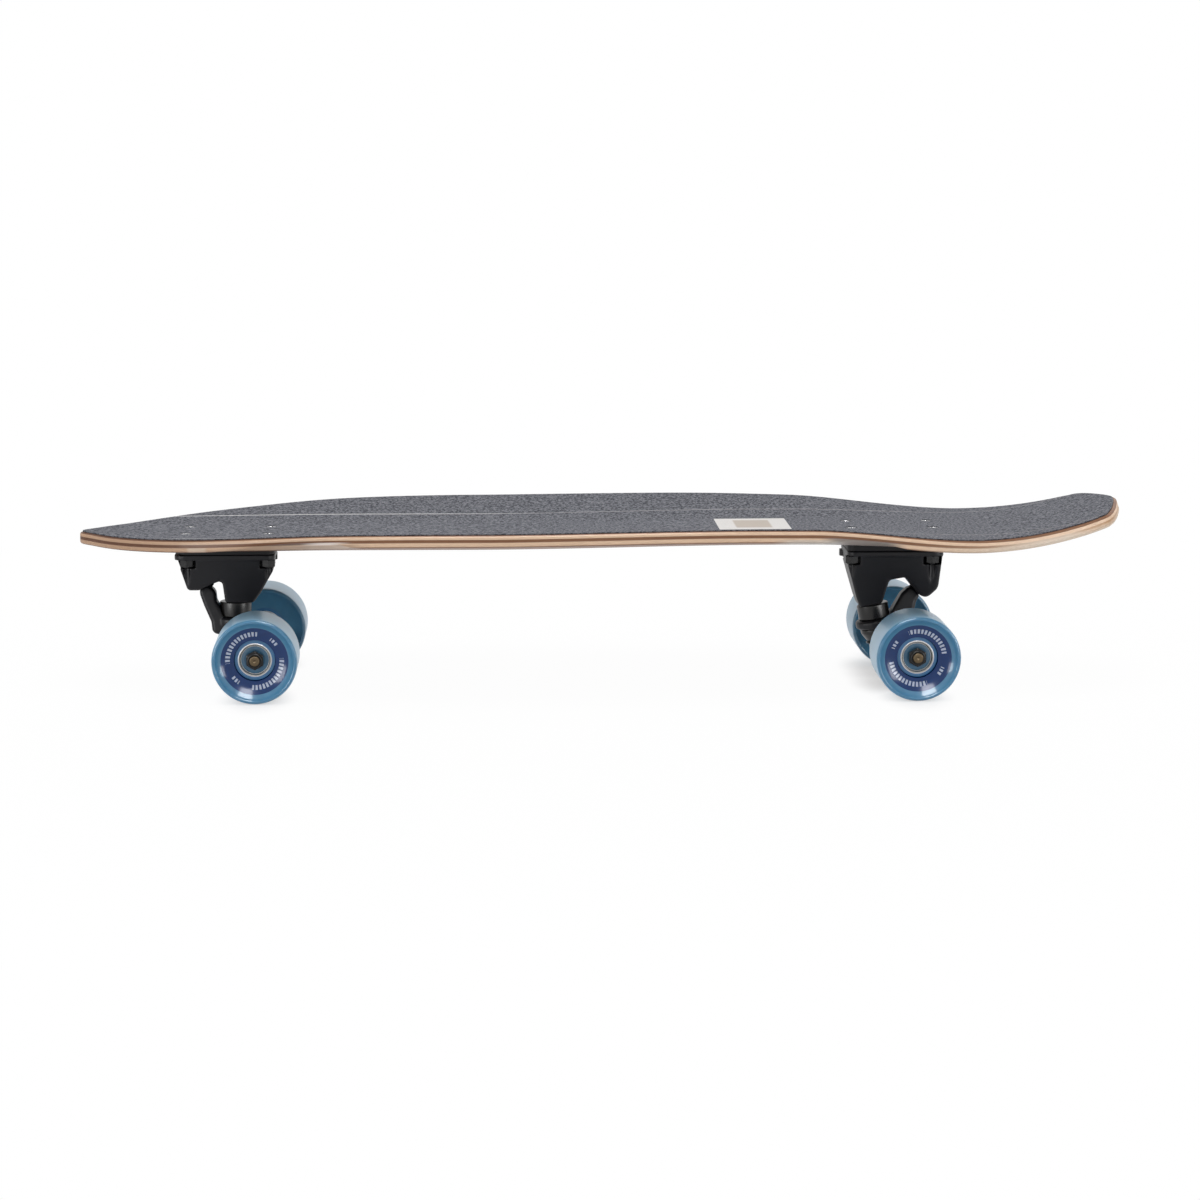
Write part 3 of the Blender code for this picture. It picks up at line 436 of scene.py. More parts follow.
# %% [markdown]
# The deck's skin is one grid: a row for each place along the outline and a column for each place
# round the section. Both edges are rounded by moving in along the outline's normal while moving
# down. The bolt holes are cut afterwards, all eight at once, with one Boolean.

# %% A tool for round holes
def evaluated(obj):
    """The object's mesh as its modifiers leave it; the object itself is removed."""
    mesh = bpy.data.meshes.new_from_object(obj.evaluated_get(bpy.context.evaluated_depsgraph_get()))
    mesh.name = obj.name
    bpy.data.objects.remove(obj)
    return mesh


def revolve(profile, count, reach=None):
    """Turn a profile of (radius, height) round the Z axis: rows are angles, columns the profile."""
    angle = (np.arange(count) * 2 * math.pi / count)[:, None]
    radius, height = np.asarray(profile, float).T
    if reach is not None:
        radius = reach(radius[None, :], height[None, :], angle)
    height = np.broadcast_to(height, (count, len(height)))
    return np.stack((radius * np.cos(angle), radius * np.sin(angle), height), -1)


def drilled(mesh, profile, seats):
    """The mesh with a turned hole at each seat, the point that the profile is measured from."""
    tool = revolve(profile, 40)
    holes = from_grids("drill", [(tool + np.array(seat), True, False) for seat in seats])
    cutter = bpy.data.objects.new("drill", holes)
    body = bpy.data.objects.new(mesh.name, mesh)
    for obj in (cutter, body):
        bpy.context.scene.collection.objects.link(obj)
    cut = body.modifiers.new("holes", "BOOLEAN")
    cut.operation, cut.solver, cut.object = "DIFFERENCE", "EXACT", cutter
    bpy.context.view_layer.update()
    made = evaluated(body)
    bpy.data.objects.remove(cutter)
    return made


BOLT_LONG, BOLT_WIDE, BOLT_RECESS = 63.5 * MM, 41.3 * MM, 0.4 * MM
BOLTS = []
for truck_name, truck in TRUCKS.items():
    for number, (along, across) in enumerate(((-1, -1), (-1, 1), (1, -1), (1, 1)), 1):
        x = truck["axle"] + truck["turn"] * (truck["bolts"] + along * BOLT_LONG / 2)
        y = truck["turn"] * across * BOLT_WIDE / 2
        top = float(wood_top(x, y)) + GRIP_RISE - BOLT_RECESS
        BOLTS.append((f"{truck_name}_bolt_{number}", truck, x, y, top))
# The hole is wide above the head, narrows with the countersink and then clears the shaft.
SHAFT_HOLE, HEAD_HOLE = 2.6 * MM, 5.0 * MM
HOLE = ((0.0, 3 * MM), (HEAD_HOLE, 3 * MM), (HEAD_HOLE, 0.0), (SHAFT_HOLE, -2.7 * MM),
        (SHAFT_HOLE, -20 * MM), (0.0, -20 * MM))
SEATS = [(x, y, top) for _, _, x, y, top in BOLTS]
print(len(BOLTS), "bolt holes")

# %% [markdown]
# ### Finish of the wood
# Every point of the deck keeps its depth under the upper face in the attribute `ply_depth`. The
# finish reads the ply from it, so the plies show as lines along the edge and as contours where a
# wheel well is sanded through them. Long thin noise along the board is the grain, and a clear
# coat gives the lacquer.

# %% Maple ply
material, paint = start_paint("maple")
depth = paint.node("Attribute", {"attribute_name": "ply_depth"}, {}, "Fac") * 1000
wander = noise(paint, 60, 2.0, place_on(paint, (0.4, 1.0, 1.0))) - 0.5
depth = depth + wander * 0.35
along = part_of(place_on(paint), "X") * 1000
shaded_nose, tail = 1 - step(along, -380, -150), step(along, 215, 335)
lit_tail, tip = step(along, 285, 330), step(along, 352, 376)
pale = between(depth - tail * 0.75, 0.95, 3.25, 0.30) + between(depth, 5.65, 8.55, 0.45)
grain = noise(paint, 0.5, 3.0, place_on(paint, (0.012, 1.0, 1.0)), 0.6)
fleck = noise(paint, 2.4, 2.0, place_on(paint, (0.08, 1.0, 1.0)), 0.6)
light_wood = mix(grain, (0.64, 0.42, 0.27), (0.90, 0.68, 0.50))
# Towards the nose both woods are painted darker: painted shade.
light_wood = mix(shaded_nose * 0.75, light_wood, (0.33, 0.19, 0.115))
dark_wood = mix(grain, (0.135, 0.058, 0.028), (0.235, 0.108, 0.055))
dark_wood = mix(shaded_nose * 0.9, dark_wood, (0.065, 0.018, 0.005))
middle = between(depth, 2.6, 6.4, 0.3)
# Towards the tail the dark middle band is painted paler: painted light.
dark_wood = mix(tail * 0.75 * middle, dark_wood, (0.46, 0.29, 0.17))
dark_wood = mix(lit_tail * 0.85 * middle, dark_wood, (0.66, 0.53, 0.41))
dark_wood = mix(tip * middle, dark_wood, (0.36, 0.18, 0.085))
colour = mix(pale, dark_wood, light_wood)
colour = mix(fleck * 0.22, colour, (0.30, 0.16, 0.09))
# The lower plies at the tail are painted paler too: painted light.
lit_tail_wood = mix(grain, (0.56, 0.44, 0.34), (0.78, 0.68, 0.57))
colour = mix(tail * step(depth, 4.5, 6.5), colour, lit_tail_wood)
colour = mix(tip * between(depth, 4.0, 7.5, 0.6) * 0.6, colour, (0.50, 0.31, 0.17))
# Marks on the lower edge: a pale spot by the nose, then a darker band and a bright painted
# reflection in the sanded front well, and a pale painted reflection and grey painted shade in the
# rear well.
marks_and_painted_light = (
    (between(along, -317, -303, 2.0) * between(depth, 5.8, 8.8, 0.3), (0.55, 0.42, 0.32)),
    (between(along, -236, -186, 12.0) * step(depth, 6.1, 6.6) * 0.5, (0.30, 0.19, 0.13)),
    # A bright painted reflection in the front well.
    (between(along, -224, -200, 10.0) * between(depth, 4.7, 6.1, 0.35), (0.86, 0.74, 0.67)),
    # The rear well: grey painted shade, and a pale painted reflection at its front end.
    (between(along, 166, 220, 9.0) * step(depth, 4.6, 5.8) * 0.9, (0.235, 0.210, 0.195)),
    (between(along, 132, 172, 10.0) * step(depth, 6.4, 7.4) * 0.6, (0.60, 0.57, 0.52)),
)
for share, tint in marks_and_painted_light:
    colour = mix(share, colour, tint)
MAPLE = finish(material, paint, bump=grain, depth=0.03, Base_Color=colour,
               Roughness=0.42 + grain * 0.1, Coat_Weight=0.12, Coat_Roughness=0.15,
               Specular_IOR_Level=0.2)
print("maple with", len(marks_and_painted_light), "marks_and_painted_light")

# %% [markdown]
# The section of the deck could be swept along a curve, but its outline, bowl, kick and wells all
# change along the board. Worked out point by point, each stays a line of arithmetic.

# %% The deck's skin
def deck_grid(rows):
    """The section's points for each place on the outline, from the middle of the top all round."""
    x, rail, nx, ny = (value[:, None] for value in rows)
    turn = np.linspace(0.0, math.pi / 2, 6)[None, :]
    inset, drop = EDGE_RADIUS * (1 - np.sin(turn)), EDGE_RADIUS * (1 - np.cos(turn))
    rim_x, rim_y = x - inset * nx, np.maximum(0.0, rail - inset * ny)
    flat_x, flat_y = rim_x[:, :1], rim_y[:, :1]
    share = np.linspace(0.0, 1.0, 34)[None, :-1]
    across = flat_y * (0.45 * share + 0.55 * np.sin(share * math.pi / 2))
    top = beneath(flat_x, across, 0.0)
    upper_rim = beneath(rim_x, rim_y, drop)
    lower_rim = beneath(rim_x, rim_y, wood_depth(rim_x, rim_y, rail) - drop)[:, ::-1]
    bottom = beneath(flat_x, across, wood_depth(flat_x, across, rail))[:, ::-1]
    half = np.concatenate((top, upper_rim, lower_rim, bottom), 1)
    other = half[:, 1:-1][:, ::-1] * (1.0, -1.0, 1.0)
    return np.concatenate((half, other), 1)


rows = outline(10)
deck_mesh = from_grids("deck_wood", [(deck_grid(rows), False, True)])
deck_mesh = drilled(deck_mesh, HOLE, SEATS)
place = np.empty(len(deck_mesh.vertices) * 3, np.float32)
deck_mesh.vertices.foreach_get("co", place)
place = place.reshape(-1, 3).astype(float)
ply_depth = (wood_top(place[:, 0], place[:, 1]) - place[:, 2]) * np.cos(kick_lean(place[:, 0]))
layer = deck_mesh.attributes.new("ply_depth", "FLOAT", "POINT")
layer.data.foreach_set("value", ply_depth.astype(np.float32))
piece(deck_mesh, "deck", MAPLE, ["deck"])
print("deck faces", len(deck_mesh.polygons))

# %% [markdown]
# ## Grip
# Grip is a sheet with hard mineral grains glued to it, laid in three pieces: a wide one in the
# middle and a strip along each rail. The thin line of bare wood between them shows as a pale
# seam. The grains are far too small to model, so two noises of about their size change colour,
# roughness and bump.

# %% Grip finish
material, paint = start_paint("grip")
coarse = noise(paint, 2.2, 3.0, None, 0.75)
fine = noise(paint, 0.8, 2.0, None, 0.7)
patch = noise(paint, 30.0, 3.0)
dark = mix(step(coarse, 0.38, 0.64), (0.030, 0.032, 0.040), (0.205, 0.208, 0.230))
sparkle = step(fine, 0.60, 0.74)
colour = mix(sparkle * 0.5, dark, (0.42, 0.42, 0.44))
colour = mix(patch * 0.2, colour, (0.100, 0.103, 0.118))
GRIP = finish(material, paint, bump=coarse * 0.5 + fine * 0.5, depth=0.45, Base_Color=colour,
              Roughness=0.95 - sparkle * 0.35, Specular_IOR_Level=0.12)
print("grip finish", GRIP.name)

# %% [markdown]
# A sheet follows the wood at a constant depth below and above, so it is the deck's formula again
# with a negative depth. A strip along the rail ends where the outline crosses the seam.

# %% Grip sheets
def sheet_grid(x, low, high, columns, rise=GRIP_RISE, under=GAP):
    """A sheet between two places across, following the wood: its upper, then its lower face."""
    share = np.linspace(0.0, 1.0, columns)[None, :]
    y = low[:, None] + (high - low)[:, None] * share
    upper, lower = beneath(x[:, None], y, -rise), beneath(x[:, None], y[:, ::-1], -under)
    return np.concatenate((upper, lower), 1)


flat_x, flat_y = rows[0] - EDGE_RADIUS * rows[2], np.maximum(0.0, rows[1] - EDGE_RADIUS * rows[3])
inner, outer = SEAM_OFFSET - SEAM_WIDTH / 2, SEAM_OFFSET + SEAM_WIDTH / 2
middle = np.minimum(inner, flat_y)
middle_mesh = from_grids("grip_sheet_middle", [(sheet_grid(flat_x, -middle, middle, 49), False, True)])
middle_mesh = drilled(middle_mesh, HOLE, SEATS)
piece(middle_mesh, "deck", GRIP, ["grip_middle"])
on_strip = flat_y > outer
before, after = np.argmax(on_strip), len(flat_y) - 1 - np.argmax(on_strip[::-1])
ends = [np.interp(outer, flat_y[[a, b]], flat_x[[a, b]])
        for a, b in ((before - 1, before), (after + 1, after))]
strip_x = np.concatenate((ends[:1], flat_x[on_strip], ends[1:]))
strip_y = np.maximum(outer, np.interp(strip_x, flat_x, flat_y))
for side_name, side in SIDES:
    grid = sheet_grid(strip_x, side * outer + 0 * strip_x, side * strip_y, 17)
    strip = from_grids(f"grip_sheet_{side_name}", [(grid, False, True)])
    piece(strip, "deck", GRIP, [f"grip_{side_name}"])
print("strips in mm", round((strip_x[-1] - strip_x[0]) / MM, 1), "long")

# %% [markdown]
# The seams are narrow and the camera is low, so each gap is filled nearly flush with a thin pale
# strip, as bare wood under a slightly frayed edge looks.

# %% Seams
SEAM_ROOM, SEAM_PROUD = 0.1 * MM, 0.05 * MM
material, paint = start_paint("seam")
along = part_of(place_on(paint), "X") * 1000
# The seam is pale near the nose and a darker mottled grey towards the tail.
mottled_grey = mix(noise(paint, 2.0), (0.17, 0.165, 0.175), (0.34, 0.33, 0.335))
seam_colour = mix(step(along, -150, -40), (0.66, 0.65, 0.64), mottled_grey)
SEAM = finish(material, paint, Base_Color=seam_colour, Roughness=0.8)
for side_name, side in SIDES:
    low, high = (side * edge + 0 * strip_x for edge in (inner + SEAM_ROOM, outer - SEAM_ROOM))
    grid = sheet_grid(strip_x, low, high, 3, GRIP_RISE + SEAM_PROUD)
    piece(from_grids(f"seam_{side_name}", [(grid, False, True)]), "deck", SEAM)
print("seams", len(SIDES))

# %% [markdown]
# ## Label
# A small sticker lies on the grip in front of the rear truck: a white ground with a plain beige
# panel, worked out in the material from the place on the board. Its mesh is a rounded rectangle
# filled with rings, so that it can follow the grip.

# %% Label
LABEL_X, LABEL_Y, LABEL_LONG, LABEL_WIDE = 118.25 * MM, 1.5 * MM, 56 * MM, 64 * MM
LABEL_TOP, LABEL_UNDER = 0.15 * MM, 0.02 * MM
material, paint = start_paint("label")
along, across = (paint.maths("ABSOLUTE", part_of(place_on(paint), axis) - centre)
                 for axis, centre in (("X", LABEL_X), ("Y", LABEL_Y)))
panel = (1 - step(along, 13.0 * MM, 15.0 * MM)) * (1 - step(across, 20.5 * MM, 23.0 * MM))
speck = noise(paint, 0.9, 2.0)
ground = mix(speck, (0.405, 0.388, 0.372), (0.655, 0.638, 0.62))
LABEL = finish(material, paint, bump=speck, depth=0.08, Roughness=0.55,
               Base_Color=mix(panel, ground, (0.345, 0.294, 0.248)))


def rounded_rectangle(long, wide, corner, steps=8):
    """Points round a rectangle whose corners are quarter circles."""
    angle = np.linspace(0, 2 * math.pi, 4 * steps, endpoint=False) + math.pi / (4 * steps)
    arm = np.stack((np.cos(angle), np.sin(angle)), -1)
    return np.sign(arm) * (long / 2 - corner, wide / 2 - corner) + corner * arm


shape = rounded_rectangle(LABEL_LONG, LABEL_WIDE, 1.5 * MM)
shares = np.concatenate((np.linspace(0, 1, 9), [1.0], np.linspace(1, 0, 9)))
rises = np.concatenate((np.full(9, LABEL_TOP), np.full(10, LABEL_UNDER)))
spread = shape[None] * shares[:, None, None]
grid = beneath(spread[..., 0] + LABEL_X, spread[..., 1] + LABEL_Y, -GRIP_RISE - rises[:, None])
piece(from_grids("label", [(grid, False, True)]), "deck", LABEL)
print("label in mm", round(LABEL_LONG / MM), "by", round(LABEL_WIDE / MM))

# %% [markdown]
# ## Turned pieces
# Wheels, bearings, bolts, nuts and washers are all made on a lathe, or look so. A profile of
# corners, each with the radius of its rounding, is turned about an axis. A seat lays the result
# along any axis of the board. The piece keeps its own coordinates in the attribute `own`, so a
# finish can follow its radius or its angle, whichever way it points.

# %% Profiles and seats
def rounded(corners, steps=5, closed=True):
    """Turn a profile's corners (radius, height, rounding) into arcs that touch both their sides."""
    points, count = [], len(corners)
    for index, (reach, height, radius) in enumerate(corners):
        here = np.array((reach, height))
        if radius == 0 or (not closed and index in (0, count - 1)):
            points.append(here)
            continue
        sides = [np.array(corners[(index + move) % count][:2]) - here for move in (-1, 1)]
        first, last = (side / np.linalg.norm(side) for side in sides)
        half = math.acos(np.clip(first @ last, -1.0, 1.0)) / 2
        centre = here + (first + last) / np.linalg.norm(first + last) * radius / math.sin(half)
        start, end = (here + side * radius / math.tan(half) - centre for side in (first, last))
        angle = math.pi - 2 * half
        for t in np.linspace(0.0, 1.0, steps):
            arm = math.sin((1 - t) * angle) * start + math.sin(t * angle) * end
            points.append(centre + arm / math.sin(angle))
    return np.array(points)


def lathe(half, steps):
    """A closed profile from its upper half's corners, in millimetres, and their mirror images."""
    corners = list(half) + [(reach, -height, radius) for reach, height, radius in reversed(half)]
    return rounded([tuple(value * MM for value in corner) for corner in corners], steps)


def seated(points, origin, axis, across=(1.0, 0.0, 0.0)):
    """Lay points whose own Z runs along axis at an origin; own X lies nearest to across."""
    up = np.array(axis, float) / np.linalg.norm(axis)
    right = np.array(across, float) - up * np.dot(across, up)
    right /= np.linalg.norm(right)
    return np.array(origin) + points @ np.stack((right, np.cross(up, right), up))


def turned(name, profile, seat, body, look, nodes=(), count=64, closed=True, reach=None):
    """A piece turned from a profile and laid on its seat, an (origin, axis)."""
    grid = revolve(profile, count, reach)
    mesh = from_grids(name, [(seated(grid, *seat), True, closed)], own=grid.reshape(-1, 3))
    return piece(mesh, body, look, nodes)


def hexagon(flats, inside, low, high, crown=1.06, slope=1.75):
    """A reach that turns a circle into a hexagon from the radius inside outwards, and cuts the
    corners by a cone at both ends."""
    def reach(radius, height, angle):
        from_flat = (angle + math.pi / 6) % (math.pi / 3) - math.pi / 6
        share = np.clip((radius - inside) / (flats - inside), 0.0, 1.0)
        cone = flats * crown + slope * np.minimum(height - low, high - height)
        wide = radius * (1.0 + share * (1.0 / np.cos(from_flat) - 1.0))
        return np.where(share > 0.999, np.minimum(wide, np.maximum(cone, radius)), wide)
    return reach


def hex_walls(flats, first, last, shares=(0, 0.05, 0.1, 0.18, 0.82, 0.9, 0.95, 1)):
    """A hexagon's side from one height to another, with rows close together at both ends, where
    its corners are cut."""
    return [(flats, first + (last - first) * share, 0.0) for share in shares]


# %% [markdown]
# ### Metal, rubber and paint
# Small metal pieces show turning marks: rings of slightly different roughness. Black parts are
# never one black: they have a fine texture, faint cloudy patches and a little gloss.

# %% Finishes of the hardware
def metal(name, colour, roughness):
    """Turned metal: noise over the distance from the piece's own origin gives rings."""
    material, paint = start_paint(name)
    spread = paint.node("VectorMath", {"operation": "LENGTH"}, {0: own_place(paint)}, "Value")
    ring = paint.node("TexNoise", {"noise_dimensions": "1D"},
                      {"W": spread, "Scale": 2500.0, "Detail": 2.0})
    smudge = noise(paint, 6.0, 3.0)
    darker = tuple(value * 0.72 for value in colour)
    return finish(material, paint, bump=ring, depth=0.01, Base_Color=mix(smudge, darker, colour),
                  Metallic=1.0, Roughness=roughness + (ring - 0.5) * 0.25 + (smudge - 0.5) * 0.12)


def dark_finish(name, low, high, roughness, grain=0.35, depth=0.03, metallic=0.0, specular=0.5):
    """A dark surface with a fine grain and faint cloudy patches."""
    material, paint = start_paint(name)
    fine, cloud = noise(paint, grain, 3.0, None, 0.6), noise(paint, 14.0, 3.0)
    return finish(material, paint, bump=fine, depth=depth, Metallic=metallic,
                  Base_Color=mix(fine * 0.6 + cloud * 0.4, low, high), Specular_IOR_Level=specular,
                  Roughness=roughness + (fine - 0.5) * 0.12 + (cloud - 0.5) * 0.08)


STEEL = metal("steel", (0.62, 0.62, 0.61), 0.28)
BRONZE = metal("bronzed_steel", (0.105, 0.078, 0.048), 0.45)
BLACK_STEEL = dark_finish("black_steel", (0.014, 0.014, 0.015), (0.036, 0.035, 0.034), 0.34,
                          metallic=0.85)
BLACK_PAINT = dark_finish("black_paint", (0.004, 0.004, 0.006), (0.009, 0.009, 0.012), 0.42,
                          grain=0.5, depth=0.04, specular=0.25)
BLACK_PLASTIC = dark_finish("black_plastic", (0.004, 0.004, 0.005), (0.009, 0.009, 0.010), 0.55,
                            grain=0.4, depth=0.05, specular=0.25)
BLACK_RUBBER = dark_finish("black_urethane", (0.006, 0.006, 0.006), (0.013, 0.012, 0.012), 0.30,
                           grain=0.8, depth=0.02, specular=0.35)
print("hardware finishes", *(look.name for look in (STEEL, BRONZE, BLACK_STEEL, BLACK_PAINT)))

# %% [markdown]
# The mounting bolts are black too, but their heads have been turned by a key and shine.

# %% Mounting bolt finish
material, paint = start_paint("black_screw")
head = step(part_of(own_place(paint), "Z") * 1000, -3.0, -2.0)
rubbed = step(noise(paint, 1.6, 2.0), 0.42, 0.60)
SCREW = finish(material, paint, Metallic=head * 0.9, Roughness=0.42 - head * 0.20,
               Base_Color=mix(head * rubbed, (0.012, 0.012, 0.013), (0.75, 0.75, 0.76)),
               Specular_IOR_Level=0.2)
print("bolt finish", SCREW.name)

# %% [markdown]
# ## Wheels
# A soft wheel is cast urethane round a hard core. Its running surface is ground matt and looks
# paler than the glossy lips. The face is dished as an arc and carries a printed navy ring with
# rows of pale tick marks. The finish finds all of this from the radius, the height and the angle
# in the wheel's own coordinates.

# %% Urethane
material, paint = start_paint("blue_urethane")
own_x, own_y, own_z = (part_of(own_place(paint), axis) for axis in "XYZ")
radius, height, angle = own_radius(paint), own_z * 1000, paint.maths("ARCTAN2", own_y, own_x)
tread = step(radius, 31.9, 32.35)
print_ring = between(radius, 15.6, 25.6, 0.12) * step(height, 0.0, 0.5)
TICKS_ROUND, TICK_GAP = 46, 0.42
dashes = paint.maths("FRACT", angle * (TICKS_ROUND / (2 * math.pi))) > TICK_GAP
half_turn = paint.maths("COSINE", angle * 2.0)
long_row = (half_turn > -0.20) * between(radius, 18.7, 22.2, 0.2)
short_row = (half_turn < -0.95) * between(radius, 19.1, 21.8, 0.2)
ticks = dashes * (long_row + short_row) * print_ring
cloud, scuff = noise(paint, 9.0, 3.0), noise(paint, 0.7, 3.0, None, 0.65)
glossy = mix(cloud, (0.060, 0.192, 0.330), (0.088, 0.250, 0.405))
matt = mix(scuff, (0.20, 0.38, 0.53), (0.31, 0.49, 0.64))
colour = mix(tread, glossy, matt)
colour = mix(print_ring, colour, (0.004, 0.032, 0.135))
colour = mix(ticks * 0.8, colour, (0.58, 0.64, 0.76))
BLUE = finish(material, paint, bump=scuff * tread, depth=0.05, Base_Color=colour,
              Roughness=0.16 + tread * 0.18 + scuff * 0.05, Specular_IOR_Level=0.28,
              Coat_Weight=0.32 - tread * 0.20 - print_ring * 0.22, Coat_Roughness=0.06,
              Subsurface_Weight=0.12, Subsurface_Radius=(0.2, 0.5, 1.0), Subsurface_Scale=4 * MM)
print("ticks round the ring", TICKS_ROUND)

# %% [markdown]
# The core is a hard blue ring. Where the bearing presses in, its mouth is a bright bevel.

# %% Core and seal finishes
material, paint = start_paint("core_plastic")
radius = own_radius(paint)
off_middle = paint.maths("ABSOLUTE", part_of(own_place(paint), "Z")) * 1000
metal_ring = between(radius, 11.0, 12.95, 0.08) * step(off_middle, 12.0, 12.6)
bright = mix(noise(paint, 2.0, 3.0), (0.50, 0.51, 0.53), (0.85, 0.86, 0.87))
ring_colour = mix(step(radius, 12.1, 12.45), (0.26, 0.255, 0.24), bright)
CORE = finish(material, paint, Base_Color=mix(metal_ring, (0.05, 0.19, 0.39), ring_colour),
              Metallic=metal_ring * 0.7, Roughness=0.26 + metal_ring * 0.12, Coat_Weight=0.3)
material, paint = start_paint("bearing_seal")
seal_colour = mix(noise(paint, 3.0), (0.030, 0.105, 0.190), (0.045, 0.150, 0.260))
SEAL = finish(material, paint, Base_Color=seal_colour, Roughness=0.38, Specular_IOR_Level=0.5)
print("core and seal finishes", CORE.name, SEAL.name)

# %% [markdown]
# A wheel could be modelled as one solid, but a real one is layered: urethane, core, and bearings
# with an outer race, an inner race and a seal. Each layer is a profile that is the same on both
# sides, so only its upper half is written, as corners of (radius, height, rounding).

# %% Wheel profiles
DISH_RADIUS, DISH_START, DISH_END = 19.0, math.radians(5), math.radians(56)
dish = [(15.8 + DISH_RADIUS * (math.sin(slope) - math.sin(DISH_START)),
         15.9 + DISH_RADIUS * (math.cos(DISH_START) - math.cos(slope)), 0.0)
        for slope in np.linspace(DISH_START, DISH_END, 20)[:-1]]
TYRE = lathe(dish + [(29.9, 24.4, 1.2), (31.66, 23.9, 1.2), (32.5, 21.6, 2.2)], 7)
CORE_PROFILE = lathe([(15.5, 13.1, 0.4), (12.9, 13.1, 0.1), (12.7, 13.6, 0.35), (11.55, 13.6, 0.35),
                      (11.3, 13.0, 0.1), (11.3, 4.8, 0.0), (8.0, 4.8, 0.3)], 4)
RACE_OUT = lathe([(11.0, 3.5, 0.2), (10.5, 3.5, 0.1)], 4)
RACE_IN = lathe([(6.0, 3.5, 0.2), (4.25, 3.5, 0.3)], 4)
SEAL_PROFILE = lathe([(10.45, 2.8, 0.2), (8.2, 3.1, 0.8), (6.05, 2.9, 0.2)], 4)
SPACER = lathe([(4.25, 4.8, 0.2), (5.25, 4.8, 0.3)], 3)
print("tyre profile points", len(TYRE))

# %% [markdown]
# The locknut has a hexagon with its corners chamfered and a round collar for the nylon ring. The
# end of the axle stands a little proud of it.

# %% Locknut and axle profiles
AXLE_R, AXLE_END, DIMPLE, BORE_R = 3.95 * MM, 99.5 * MM, 1.2 * MM, 4.25 * MM
NUT_FLATS, NUT_LOW, NUT_HIGH = 6.35 * MM, 91.7 * MM, 97.9 * MM
NUT_MID, COLLAR_R = NUT_HIGH - 2.0 * MM, NUT_FLATS - 0.7 * MM
LOCKNUT = rounded([(BORE_R, NUT_LOW, 0.3 * MM)]
                  + hex_walls(NUT_FLATS, NUT_LOW, NUT_MID, (0, 0.06, 0.12, 0.2, 0.8, 0.88, 0.94, 1))
                  + [(COLLAR_R, NUT_MID + 0.05 * MM, 0.0), (COLLAR_R, NUT_HIGH, 0.6 * MM),
                     (BORE_R, NUT_HIGH, 0.3 * MM)], 4)
AXLE = rounded([(0.0, -AXLE_END + DIMPLE, 0.0), (DIMPLE, -AXLE_END, 0.0),
                (AXLE_R, -AXLE_END, 0.7 * MM), (AXLE_R, AXLE_END, 0.7 * MM),
                (DIMPLE, AXLE_END, 0.0), (0.0, AXLE_END - DIMPLE, 0.0)], 5, closed=False)
print("axle in mm", round(2 * AXLE_END / MM), "long")

# %% [markdown]
# Every profile is laid on the same axle. The wheel, its core and its bearings ride on the wheel's
# own body and turn; the nut, the spacer and the axle stay with the hanger.

# %% Wheels, bearings, axle nuts and spacers
WHEEL_OUT, BEARING_OUT = 79.3 * MM, 8.6 * MM
for truck_name, truck in TRUCKS.items():
    hanger, hub = f"{truck_name}_hanger", (truck["axle"], 0.0, AXLE_HEIGHT)
    facing = (math.cos(truck["print"]), 0.0, math.sin(truck["print"]))
    for side_name, side in SIDES:
        wheel = f"{truck_name}_{side_name}"
        body, out = f"{wheel}_wheel", (0.0, side, 0.0)
        middle = (truck["axle"], side * WHEEL_OUT, AXLE_HEIGHT)
        turned(f"{wheel}_tyre_cast", TYRE, (middle, out, facing), body, BLUE,
               [f"{wheel}_tyre"], 160)
        turned(f"{wheel}_core_hub", CORE_PROFILE, (middle, out), body, CORE,
               [f"{wheel}_core"], 96)
        for place_name, shift in (("outer", BEARING_OUT), ("inner", -BEARING_OUT)):
            seat = ((middle[0], middle[1] + side * shift, middle[2]), out)
            node = f"{wheel}_{place_name}_bearing"
            turned(f"{node}_race", RACE_OUT, seat, body, STEEL, [node], 72)
            turned(f"{node}_inner_race", RACE_IN, seat, body, STEEL, (), 48)
            turned(f"{node}_seal", SEAL_PROFILE, seat, body, SEAL, (), 72)
        turned(f"{wheel}_locknut", LOCKNUT, (hub, out), hanger, BLACK_STEEL,
               [f"{wheel}_axle_nut"], 96, reach=hexagon(NUT_FLATS, 5.8 * MM, NUT_LOW, NUT_MID))
        turned(f"{wheel}_spacer_tube", SPACER, (middle, out), hanger, STEEL,
               [f"{wheel}_spacer"], 40)
    turned(f"{truck_name}_axle_rod", AXLE, (hub, (0, 1, 0)), hanger, BRONZE,
           [f"{truck_name}_axle"], 48, closed=False)
print("wheels", len(TRUCKS) * len(SIDES))

# %% [markdown]
# ## Trucks
# Base and hanger are castings: no edge is sharp, and every inner corner is filled. The CAD solids
# have the right outlines but hard edges. A copy is rebuilt from small voxels and then relaxed,
# which rounds edges and fills corners in one go, as the sand mould does.

# %% Castings
CAST_VOXEL, RELAX_PASSES = 0.5 * MM, 14


def casting(name, node, body):
    """A relaxed voxel skin of a CAD node."""
    mesh = frame["nodes"][node].data.copy()
    work = bmesh.new()
    work.from_mesh(mesh)
    bmesh.ops.remove_doubles(work, verts=work.verts, dist=1e-6)
    work.to_mesh(mesh)
    work.free()
    source = bpy.data.objects.new(name, mesh)
    bpy.context.scene.collection.objects.link(source)
    skin = source.modifiers.new("skin", "REMESH")
    skin.mode, skin.voxel_size = "VOXEL", CAST_VOXEL
    relax = source.modifiers.new("relax", "SMOOTH")
    relax.factor, relax.iterations = 0.5, RELAX_PASSES
    bpy.context.view_layer.update()
    return piece(evaluated(source), body, BLACK_PAINT, [node], 180.0)


